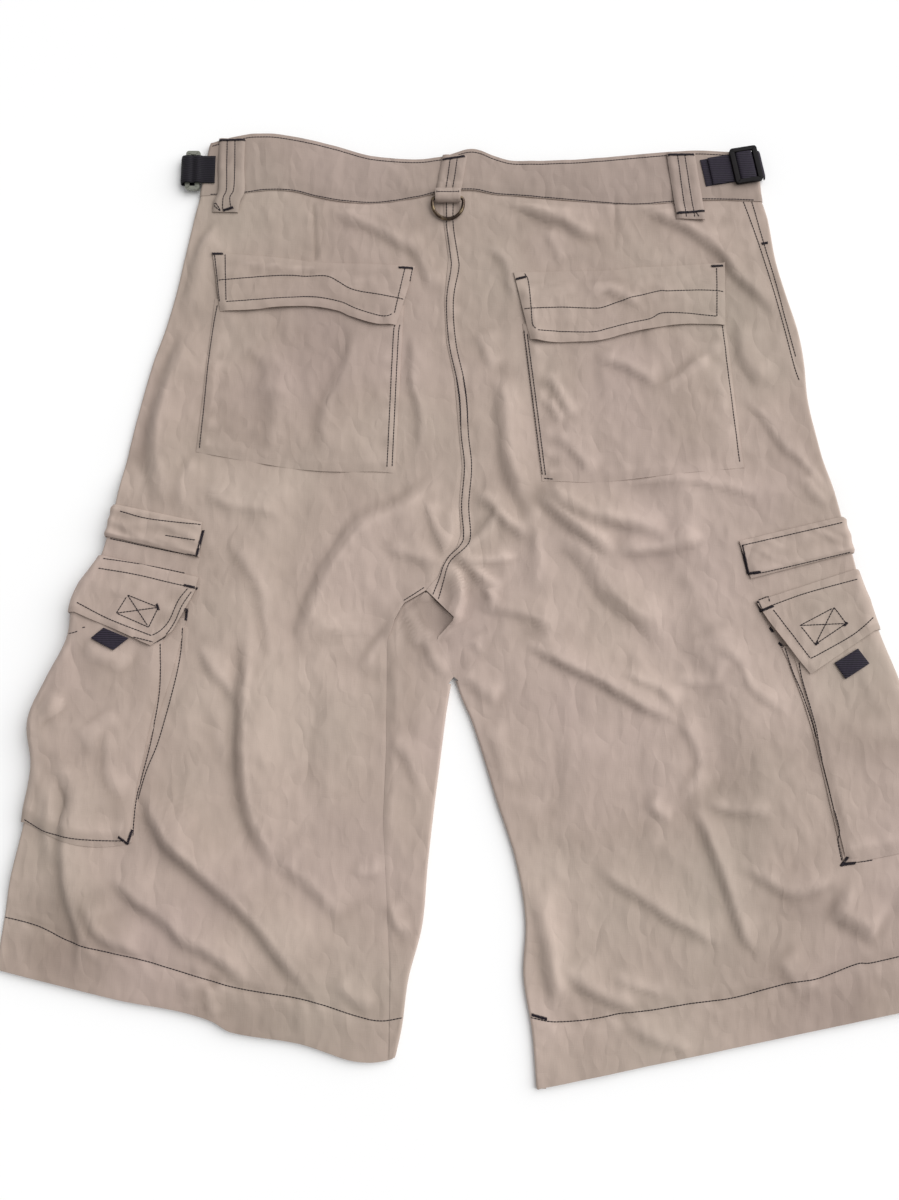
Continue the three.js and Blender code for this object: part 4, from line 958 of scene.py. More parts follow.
def cargoFlapTop(t, u, at):
    steps = np.interp(t, [0, 0.25, 0.5, 0.75, 1], [flapRise, flapRise, flapRise, pocketRise, ply])
    x, y = at[..., 0], at[..., 1]
    curl = (1.4 + 0.8 * cloud(x / 22, y / 40, 97)) * bell(t, 0.2) * ease(u / 0.04)
    puckers = 0.45 * cloud(x / 7, y / 9, 98)
    free = 1 - ease((u - 0.52) / 0.12)
    return steps + wall + 0.15 + free * (curl + puckers * ease(u / 0.03) * ease((1 - t) / 0.1))


def gussetGrid(side):
    inner, outer, y = spread(cargo[side]["gusset"], 61)
    s = np.linspace(0, 1, 7)
    x, y = together(outward(side) * mix(inner, outer, s), y)
    climb = 0.6 * ease(s / 0.6)       # up to the pocket that it carries
    return onBack(x, y, ply + gussetWall - 0.5 + climb + 0.2 * cloud(x / 5, y / 9, 99))


def tabGrid(side):
    a, b, c, d = (np.array(p, float) for p in cargo[side]["tab"])
    t = np.linspace(0, 1, 15)[:, None, None]
    s = np.linspace(0, 1, 19)[None, :, None]
    flat = mix(mix(d, c, s), mix(a, b, s), t)
    x, y = flat[..., 0], flat[..., 1]
    base = onBack(x, y)
    top = base[..., 2].max() * 0.35 + base[..., 2] * 0.65
    base[..., 2] = top + flapRise + tabThick + 1.3 + 0.8 * (1 - t[..., 0]) * np.sin(math.pi * s[..., 0])
    return base


# Finishes

class Wire:
    # an output socket that takes part in sums
    def __init__(self, tree, socket):
        self.tree, self.socket = tree, socket

    def maths(self, operation, *values):
        node = self.tree.nodes.new("ShaderNodeMath")
        node.operation = operation
        for slot, value in zip(node.inputs, values):
            plug(self.tree, slot, value)
        return Wire(self.tree, node.outputs[0])

    def __add__(self, other):
        return self.maths("ADD", self, other)

    def __radd__(self, other):
        return self.maths("ADD", other, self)

    def __sub__(self, other):
        return self.maths("SUBTRACT", self, other)

    def __rsub__(self, other):
        return self.maths("SUBTRACT", other, self)

    def __mul__(self, other):
        return self.maths("MULTIPLY", self, other)

    def __rmul__(self, other):
        return self.maths("MULTIPLY", other, self)

    def __abs__(self):
        return self.maths("ABSOLUTE", self)


def plug(tree, slot, value):
    if isinstance(value, Wire):
        tree.links.new(value.socket, slot)
    else:
        slot.default_value = value


class Finish:
    def __init__(self, name, fixed=None):
        self.material = bpy.data.materials.new(name)
        self.material.use_nodes = True
        self.tree = self.material.node_tree
        self.shader = self.tree.nodes["Principled BSDF"]
        for key, value in (fixed or {}).items():
            self.shader.inputs[key].default_value = value
        self.place = self.node("ShaderNodeTexCoord", out="Object")

    def node(self, kind, settings=None, sockets=None, out=0):
        node = self.tree.nodes.new(kind)
        for key, value in (settings or {}).items():
            setattr(node, key, value)
        for key, value in (sockets or {}).items():
            plug(self.tree, node.inputs[key], value)
        return Wire(self.tree, node.outputs[out])

    def noise(self, scale, detail=2.0, stretch=(1, 1, 1), shift=(0, 0, 0)):
        at = self.node("ShaderNodeMapping", {}, {"Vector": self.place, "Scale": stretch, "Location": shift})
        return self.node("ShaderNodeTexNoise", {}, {"Vector": at, "Scale": scale, "Detail": detail,
                                                    "Roughness": 0.55})

    def blend(self, factor, first, second):
        return self.node("ShaderNodeMix", {"data_type": "RGBA"}, {0: factor, 6: first, 7: second}, out=2)

    def range(self, value, low, high, toLow=0.0, toHigh=1.0):
        return self.node("ShaderNodeMapRange", {}, {"Value": value, "From Min": low, "From Max": high,
                                                    "To Min": toLow, "To Max": toHigh})

    def bump(self, height, strength, distance):
        return self.node("ShaderNodeBump", {}, {"Height": height, "Strength": strength,
                                                "Distance": distance})

    def surface(self, links):
        for key, value in links.items():
            plug(self.tree, self.shader.inputs[key], value)
        return self.material


def khaki(name, light, shade, pink, green):
    # crisp poplin: fine yarns, slight slubs, faded on the ridges as wear, with painted shade in the folds
    # and painted light and shade in broad patches
    finish = Finish(name, {"Sheen Weight": 0.12, "Sheen Roughness": 0.5, "Specular IOR Level": 0.22})
    blotch = finish.noise(13, 3)
    tint = finish.noise(6, 2, shift=(3.1, 7.7, 1.3))
    mottle = finish.noise(120, 4, stretch=(1.5, 0.7, 1))
    slub = finish.noise(420, 2, stretch=(1, 0.05, 0.3))
    # the attribute brings wear, painted shade in the folds and painted light and shade in patches into the
    # colour
    wearAndShade = finish.node("ShaderNodeAttribute", {"attribute_name": "wearAndShade"}, out="Fac")
    tone = finish.range(0.78 * blotch + 0.12 * mottle + 0.1 * slub, 0.25, 0.75)
    base = finish.blend(finish.range(tone - 0.55 * wearAndShade, -0.5, 1.5), light, shade)
    base = finish.blend(finish.range(tint, 0.5, 0.75, 0, 0.5), base, pink)
    base = finish.blend(finish.range(tint, 0.5, 0.28, 0, 0.4), base, green)
    warp = finish.noise(1500, 0, stretch=(1, 0.12, 1))
    weft = finish.noise(1500, 0, stretch=(0.12, 1, 1), shift=(5, 5, 5))
    crease = abs(finish.noise(52, 1.2, stretch=(1.25, 0.7, 1)) - 0.5)
    facet = abs(finish.noise(24, 2.2, stretch=(1.2, 0.8, 1), shift=(2, 9, 4)) - 0.5)
    relief = 0.045 * (warp + weft) - 1.6 * crease + 5 * facet
    return finish.surface({"Base Color": base, "Roughness": finish.range(mottle, 0.3, 0.7, 0.72, 0.86),
                           "Normal": finish.bump(relief, 0.7, 0.0014)})


def webbing(name, dark, light):
    # ribbed nylon tape, ribs along its length
    finish = Finish(name, {"Sheen Weight": 0.05, "Specular IOR Level": 0.18})
    rib = finish.node("ShaderNodeTexWave", {"wave_type": "BANDS", "bands_direction": "Y"},
                      {"Vector": finish.place, "Scale": 190, "Distortion": 0.6, "Detail": 1})
    pick = finish.node("ShaderNodeTexWave", {"wave_type": "BANDS", "bands_direction": "X"},
                       {"Vector": finish.place, "Scale": 320, "Distortion": 0.5, "Detail": 1})
    fluff = finish.noise(260, 3)
    base = finish.blend(finish.range(0.5 * rib + 0.5 * fluff, 0.25, 0.8), dark, light)
    return finish.surface({"Base Color": base, "Roughness": finish.range(fluff, 0.3, 0.7, 0.6, 0.8),
                           "Normal": finish.bump(0.7 * rib + 0.3 * pick + 0.3 * fluff, 0.6, 0.0004)})


def thread(name, dark, light):
    finish = Finish(name, {"Sheen Weight": 0.05, "Specular IOR Level": 0.15})
    fluff = finish.noise(900, 2)
    base = finish.blend(finish.range(fluff, 0.3, 0.7), dark, light)
    return finish.surface({"Base Color": base, "Roughness": finish.range(fluff, 0.3, 0.7, 0.55, 0.75),
                           "Normal": finish.bump(fluff, 0.4, 0.0002)})


def plastic(name, dark, light, rough, fixed=None):
    # moulded plastic with a fine grain, rubbed a little where it is handled
    finish = Finish(name, fixed)
    grain = finish.noise(1400, 2)
    rub = finish.noise(70, 3)
    base = finish.blend(finish.range(rub, 0.35, 0.75), dark, light)
    shine = finish.range(rub, 0.3, 0.7, rough, rough + 0.16)
    return finish.surface({"Base Color": base, "Roughness": shine,
                           "Normal": finish.bump(grain, 0.25, 0.0001)})


def bronze(name, dark, bright):
    # dark plated wire, brassy where it has rubbed bright
    finish = Finish(name, {"Metallic": 1.0})
    rub = finish.noise(160, 4)
    fine = finish.noise(900, 2)
    base = finish.blend(finish.range(rub + 0.2 * fine, 0.56, 0.9), dark, bright)
    return finish.surface({"Base Color": base, "Roughness": finish.range(rub, 0.3, 0.7, 0.24, 0.42),
                           "Normal": finish.bump(fine, 0.15, 0.0001)})


khakiBody = khaki("khaki poplin", (0.52, 0.415, 0.358, 1), (0.295, 0.229, 0.191, 1),
                  (0.445, 0.342, 0.315, 1), (0.40, 0.345, 0.285, 1))
khakiBand = khaki("khaki poplin, waistband", (0.445, 0.352, 0.304, 1), (0.25, 0.195, 0.166, 1),
                  (0.38, 0.295, 0.268, 1), (0.35, 0.30, 0.25, 1))
navyTape = webbing("navy webbing", (0.011, 0.009, 0.015, 1), (0.034, 0.026, 0.043, 1))
# a darker copy of the navy webbing: painted shade for the folded strap of the left adjuster
shadedNavyTape = webbing("navy webbing with painted shade", (0.0045, 0.004, 0.006, 1), (0.016, 0.013, 0.02, 1))
navyThread = thread("navy thread", (0.006, 0.005, 0.008, 1), (0.022, 0.015, 0.022, 1))
blackPlastic = plastic("black plastic", (0.006, 0.005, 0.006, 1), (0.016, 0.014, 0.015, 1), 0.5,
                       {"Specular IOR Level": 0.12})
smokePlastic = plastic("smoke plastic", (0.16, 0.165, 0.135, 1), (0.34, 0.345, 0.29, 1), 0.14,
                       {"Transmission Weight": 0.3, "Coat Weight": 0.4})
buttonPlastic = plastic("khaki button", (0.30, 0.24, 0.19, 1), (0.38, 0.31, 0.25, 1), 0.3)
darkBronze = bronze("dark bronze", (0.07, 0.05, 0.04, 1), (0.42, 0.32, 0.19, 1))
print("finishes made")


# The body panels

shortsPiece("back_left", backLeftGrid(), khakiBody, on=["front_left"])
shortsPiece("back_right", backRightGrid(), khakiBody, up=(0, -1), keep=keepRight,
            on=["front_right"])
shortsPiece("front_left", frontLeftGrid(), khakiBody, keep=keepLeft,
            on=["fly"])
shortsPiece("front_right", frontRightGrid(), khakiBody, up=(0, -1),
            on=["fly"])

# Waistband

shortsPiece("waistband_back", bandGrid(), khakiBand, thick=wall + proud, up=(0.5, 1),
            on=["back_left", "back_right"])
for side in ("left", "right"):
    shortsPiece("waistband_front_" + side, bandFrontGrid(side), khakiBand, thick=wall + proud, up=(0, -1),
                on=["front_" + side])

# Back pockets, flaps and belt loops

for name, facts in patches.items():
    top = pocketTop if "pocket" in name else flapTop
    side = name.split("_")[-1]
    shortsPiece(name, patchGrid(facts, top), khakiBody,
                on=["back_" + side])
for name, facts in beltLoops.items():
    shortsPiece(name, loopGrid(facts), khakiBand, thick=loopThick,
                on=["waistband_back"])

# Side bands, cargo pockets, flaps, gussets and pull tabs

for side in ("left", "right"):
    sewn = cargo[side]
    for part, top, counts in (("band", bandTop, (24, 60, 16)), ("pocket", cargoPocketTop, (56, 34, 18)),
                              ("flap", cargoFlapTop, (26, 34, 18))):
        name = "side_band_" + side if part == "band" else "cargo_" + part + "_" + side
        shortsPiece(name, cargoGrid(side, sewn[part], counts, top), khakiBody,
                    on=["back_" + side])
    shortsPiece("cargo_gusset_" + side, gussetGrid(side), khakiBody, thick=gussetWall,
                on=["back_" + side])
    shortsPiece("pull_tab_" + side, tabGrid(side), navyTape, thick=tabThick,
                on=["cargo_pocket_" + side])
print("body and sewn pieces made")

# Webbing adjusters, each in a frame that starts on the waistband

adjusters = {
    "left": {"x": -209.4, "y": 342, "turn": 0.0, "top": 0.0, "flat": (0.0245, 0.046),
             "run": [(0, 0), (8, 0), (11.5, 0.5), (14.5, 1.5), (17, 0.6), (19, 0.3), (22, 1.5), (25.5, 0.9),
                     (27.6, -0.6), (28.3, -2.4), (27.6, -4), (25.5, -4.8), (15, -4.8)],
             "frame": {"from": 13, "to": 25, "tall": 35, "low": -3.9}},
    "right": {"x": 198, "y": 338.5, "turn": 0.17, "top": 2.8, "flat": (0.0245, 0.08),
              "run": [(0, 0), (20, 0), (28.4, 0), (29.3, 1.5), (30.2, 2.9), (34, 3.3), (38, 3.3),
                      (41.8, 2.9), (42.7, 1.5), (43.6, 0), (48.5, 0), (50.4, -1), (50.8, -5)],
              "second": [(6, 1.5), (15, 1.55), (24.2, 1.5)],
              "frame": {"from": 24.5, "to": 47.5, "tall": 31.5, "low": 1}},
}
tape = {"wide": 24.5, "thick": 1.3}
buckle = {"thick": 3.0, "bar": 3.8, "end": 3.2, "corner": 2.5, "soft": 0.55}


def adjusterPlace(side):
    facts = adjusters[side]
    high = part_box("adjuster_strap_" + side)[1][2] * 1000 - facts["top"] - tape["thick"] / 2
    place = Matrix.Translation(Vector((facts["x"], facts["y"] + cloth["middle"], high)))
    return place @ Matrix.Rotation(facts["turn"], 4, "Z")


def tapeGrid(side, run, rows=60, columns=14):
    out, up = evenly(rounded(run, rows * 3), rows)
    slopeOut, slopeUp = np.gradient(out), np.gradient(up)
    length = np.hypot(slopeOut, slopeUp)
    across = np.linspace(-0.5, 0.5, columns) * tape["wide"]
    half = tape["thick"] / 2
    x = outward(side) * (out - slopeUp / length * half)[:, None]
    z = (up + slopeOut / length * half)[:, None] - 0.25 * (np.abs(across) > 11.5)     # selvedges lie lower
    local = np.stack(np.broadcast_arrays(x, across, z), axis=-1)
    place = np.array(adjusterPlace(side))
    return local @ place[:3, :3].T + place[:3, 3]


for side in ("left", "right"):
    facts = adjusters[side]
    name = "adjuster_strap_" + side
    points, faces, wearAndShade = shell(tapeGrid(side, facts["run"]), tape["thick"])
    if "second" in facts:
        # the end of the tape is sewn on as a second layer
        morePoints, moreFaces, moreWearAndShade = shell(tapeGrid(side, facts["second"], 24), tape["thick"])
        faces += [[k + len(points) for k in face] for face in moreFaces]
        points, wearAndShade = np.concatenate([points, morePoints]), np.concatenate([wearAndShade, moreWearAndShade])
    strap = addObject(name + "_cloth", points, faces, wearAndShade)
    # the left strap takes the darker copy, painted shade of its folds
    strap.data.materials.append(shadedNavyTape if side == "left" else navyTape)
    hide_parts(name)
    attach(strap, "shorts")


def settle(piece, matrix, material, node, bodyName="shorts"):
    # puts a modelled piece in its place, with its object at the origin
    piece.data.transform(matrix)
    piece.matrix_world = Matrix.Identity(4)
    piece.data.materials.append(material)
    if node:
        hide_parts(node)
    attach(piece, bodyName)


def selectFaces(piece, wanted):
    bpy.ops.mesh.select_all(action="DESELECT")
    bpy.ops.object.mode_set(mode="OBJECT")
    for face in piece.data.polygons:
        face.select = wanted(face)
    bpy.ops.object.mode_set(mode="EDIT")


def applyBevel(piece, width, segments, angle=40):
    modifier = piece.modifiers.new("soft edges", "BEVEL")
    modifier.width, modifier.segments = width, segments
    modifier.limit_method, modifier.angle_limit = "ANGLE", math.radians(angle)
    bpy.ops.object.modifier_apply(modifier=modifier.name)


def makeBuckle(side):
    # a plate, its corners rounded, opened by an inset on both faces that is bridged through
    facts = adjusters[side]["frame"]
    emptySelection()
    bpy.ops.mesh.primitive_cube_add(size=0.001)
    piece = bpy.context.object
    piece.name = "adjuster_buckle_" + side + "_frame"
    bpy.ops.object.mode_set(mode="EDIT")
    bpy.ops.transform.resize(value=(facts["to"] - facts["from"], facts["tall"], buckle["thick"]))
    bpy.ops.mesh.select_mode(type="EDGE")
    bpy.ops.mesh.select_all(action="DESELECT")
    bpy.ops.object.mode_set(mode="OBJECT")
    for edge in piece.data.edges:
        a, b = (piece.data.vertices[k].co for k in edge.vertices)
        edge.select = abs(a.z - b.z) > 0.001
    bpy.ops.object.mode_set(mode="EDIT")
    bpy.ops.mesh.bevel(offset=buckle["corner"] / 1000, segments=5)
    bpy.ops.mesh.select_mode(type="FACE")
    selectFaces(piece, lambda face: abs(face.normal.z) > 0.9)
    bpy.ops.mesh.inset(thickness=buckle["end"] / 1000)
    bpy.ops.transform.resize(value=((facts["to"] - facts["from"] - 2 * buckle["bar"]) /
                                    (facts["to"] - facts["from"] - 2 * buckle["end"]), 1, 1))
    bpy.ops.mesh.bridge_edge_loops()
    bpy.ops.mesh.select_all(action="SELECT")
    bpy.ops.mesh.normals_make_consistent(inside=False)
    bpy.ops.object.mode_set(mode="OBJECT")
    applyBevel(piece, buckle["soft"] / 1000, 3)
    bpy.ops.object.shade_smooth_by_angle(angle=math.radians(40))
    centre = (facts["from"] + facts["to"]) / 2 * outward(side)
    metres = adjusterPlace(side)
    metres.translation /= 1000
    local = Matrix.Translation(Vector((centre, 0, facts["low"] + buckle["thick"] / 2)) / 1000)
    finish = smokePlastic if side == "left" else blackPlastic
    slotName = "smoke_plastic" if side == "left" else "black_plastic"
    settle(piece, metres @ local, finish, "adjuster_buckle_" + side)


for side in ("left", "right"):
    makeBuckle(side)
print("adjusters made")

# D-ring and the tab that holds its straight bar

ring = {"x": -15, "barY": 318, "barZ": 11.613, "radius": 12.8, "drop": 4.5, "wire": 2.9, "corner": 3.0,
        "tilt": 12.83}


def ringOutline(count=72):
    r, drop, corner = ring["radius"], ring["drop"], ring["corner"]
    turns = np.linspace(0, math.pi / 2, 7)
    right = [(r - corner + corner * math.sin(a), -corner + corner * math.cos(a)) for a in turns]
    bow = [(r * math.cos(a), -drop - r * math.sin(a)) for a in np.linspace(0, math.pi, 33)]
    left = [(-x, y) for x, y in reversed(right)]
    closed = np.array(right + bow + left + right[:1])
    return np.stack(evenly(closed, count + 1), axis=1)[:-1]


def makeRing():
    outline = ringOutline()
    emptySelection()
    bpy.ops.mesh.primitive_circle_add(vertices=len(outline), radius=0.01)
    piece = bpy.context.object
    piece.name = "d_ring_wire"
    # the circle's points take the outline's places, both in their order round the middle
    order = sorted(piece.data.vertices, key=lambda v: -math.atan2(v.co.x, v.co.y))
    places = outline[np.argsort(np.arctan2(outline[:, 0], outline[:, 1] + ring["drop"]))]
    for vertex, (x, y) in zip(order[::-1], places):
        vertex.co = (x / 1000, y / 1000, 0)
    bpy.ops.object.convert(target="CURVE")
    piece.data.bevel_depth = ring["wire"] / 2000
    piece.data.bevel_resolution = 4
    bpy.ops.object.convert(target="MESH")
    piece = bpy.context.object
    bpy.ops.object.mode_set(mode="EDIT")
    bpy.ops.mesh.select_all(action="SELECT")
    bpy.ops.mesh.remove_doubles(threshold=0.00002)
    bpy.ops.mesh.normals_make_consistent(inside=False)
    bpy.ops.object.mode_set(mode="OBJECT")
    bpy.ops.object.shade_smooth_by_angle(angle=math.radians(60))
    place = Matrix.Translation(Vector((ring["x"], ring["barY"], ring["barZ"])) / 1000)
    tilted = place @ Matrix.Rotation(math.radians(ring["tilt"]), 4, "X")
    settle(piece, tilted, darkBronze, "d_ring", "ring")


makeRing()

ringTab = {"wide": 21, "thick": 2.0, "flat": (0.021, 0.034),
           "turn": [(9.0, 0.2), (6.2, 1.6), (3.4, 3.0), (0.4, 3.9), (-2.7, 2.9), (-4.0, 0),
                    (-2.8, -2.8), (0.4, -3.9), (3.2, -4.1), (6.0, -4.1)]}


def tabTurnGrid():
    # cloth folded round the bar; the turn is (along the cloth, up) from the bar
    fine = rounded(ringTab["turn"], 46)
    across = np.linspace(-0.5, 0.5, 17) * ringTab["wide"]
    out, up = fine[:, :1], fine[:, 1:]
    z = ring["barZ"] + up + 0.12 * cloud(across / 4 + 5, out / 4 + 3, 104)
    return np.stack(np.broadcast_arrays(ring["x"] + across, ring["barY"] + out, z), axis=-1)


shortsPiece("ring_tab", tabTurnGrid(), khakiBand, thick=ringTab["thick"],
            on=["belt_loop_centre"])
print("ring made")

# Fly and button, on the front

fly = {"x": (-56, -16), "y": (150, 296), "corner": 16, "flat": (0.04, 0.146), "area": 0.0056}


def flyGrid():
    y = np.linspace(*fly["y"], 49)[:, None]
    near = np.clip((fly["y"][0] + fly["corner"] - y) / fly["corner"], 0, 1)
    start = fly["x"][0] + fly["corner"] * (1 - np.sqrt(1 - near ** 2))
    x = mix(start, fly["x"][1], np.linspace(0, 1, 15))
    return onUnder(x, y, 1.4)


shortsPiece("fly", flyGrid(), khakiBody, thick=0.9, up=(0, -1),
            on=["front_left"])


def makeButton():
    # a disc with a raised rim and four holes
    low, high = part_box("waist_button")
    centre, radius, thick = (low + high) / 2, (high[0] - low[0]) / 2, high[2] - low[2]
    emptySelection()
    bpy.ops.mesh.primitive_cylinder_add(vertices=40, radius=radius, depth=thick)
    piece = bpy.context.object
    piece.name = "waist_button_disc"
    bpy.ops.object.mode_set(mode="EDIT")
    bpy.ops.mesh.select_mode(type="FACE")
    selectFaces(piece, lambda face: face.normal.z < -0.9)
    bpy.ops.mesh.inset(thickness=radius * 0.22)
    bpy.ops.transform.translate(value=(0, 0, thick * 0.3))
    bpy.ops.mesh.inset(thickness=radius * 0.3)
    bpy.ops.object.mode_set(mode="OBJECT")
    applyBevel(piece, thick * 0.16, 3)
    bpy.ops.object.shade_smooth_by_angle(angle=math.radians(40))
    holes = []
    for dx, dy in ((-1, -1), (1, -1), (-1, 1), (1, 1)):
        emptySelection()
        bpy.ops.mesh.primitive_cylinder_add(vertices=16, radius=radius * 0.11, depth=thick * 3,
                                            location=(dx * radius * 0.2, dy * radius * 0.2, 0))
        holes.append(bpy.context.object)
    for hole in holes:
        emptySelection()
        piece.select_set(True)
        bpy.context.view_layer.objects.active = piece
        cut = piece.modifiers.new("hole", "BOOLEAN")
        cut.object, cut.operation, cut.solver = hole, "DIFFERENCE", "EXACT"
        bpy.ops.object.modifier_apply(modifier=cut.name)
        bpy.data.objects.remove(hole)
    settle(piece, Matrix.Translation(centre), buttonPlastic, "waist_button")


makeButton()
print("front pieces made")


# Sewing. Lines and bar tacks are paths from above; the thread follows whatever lies there.

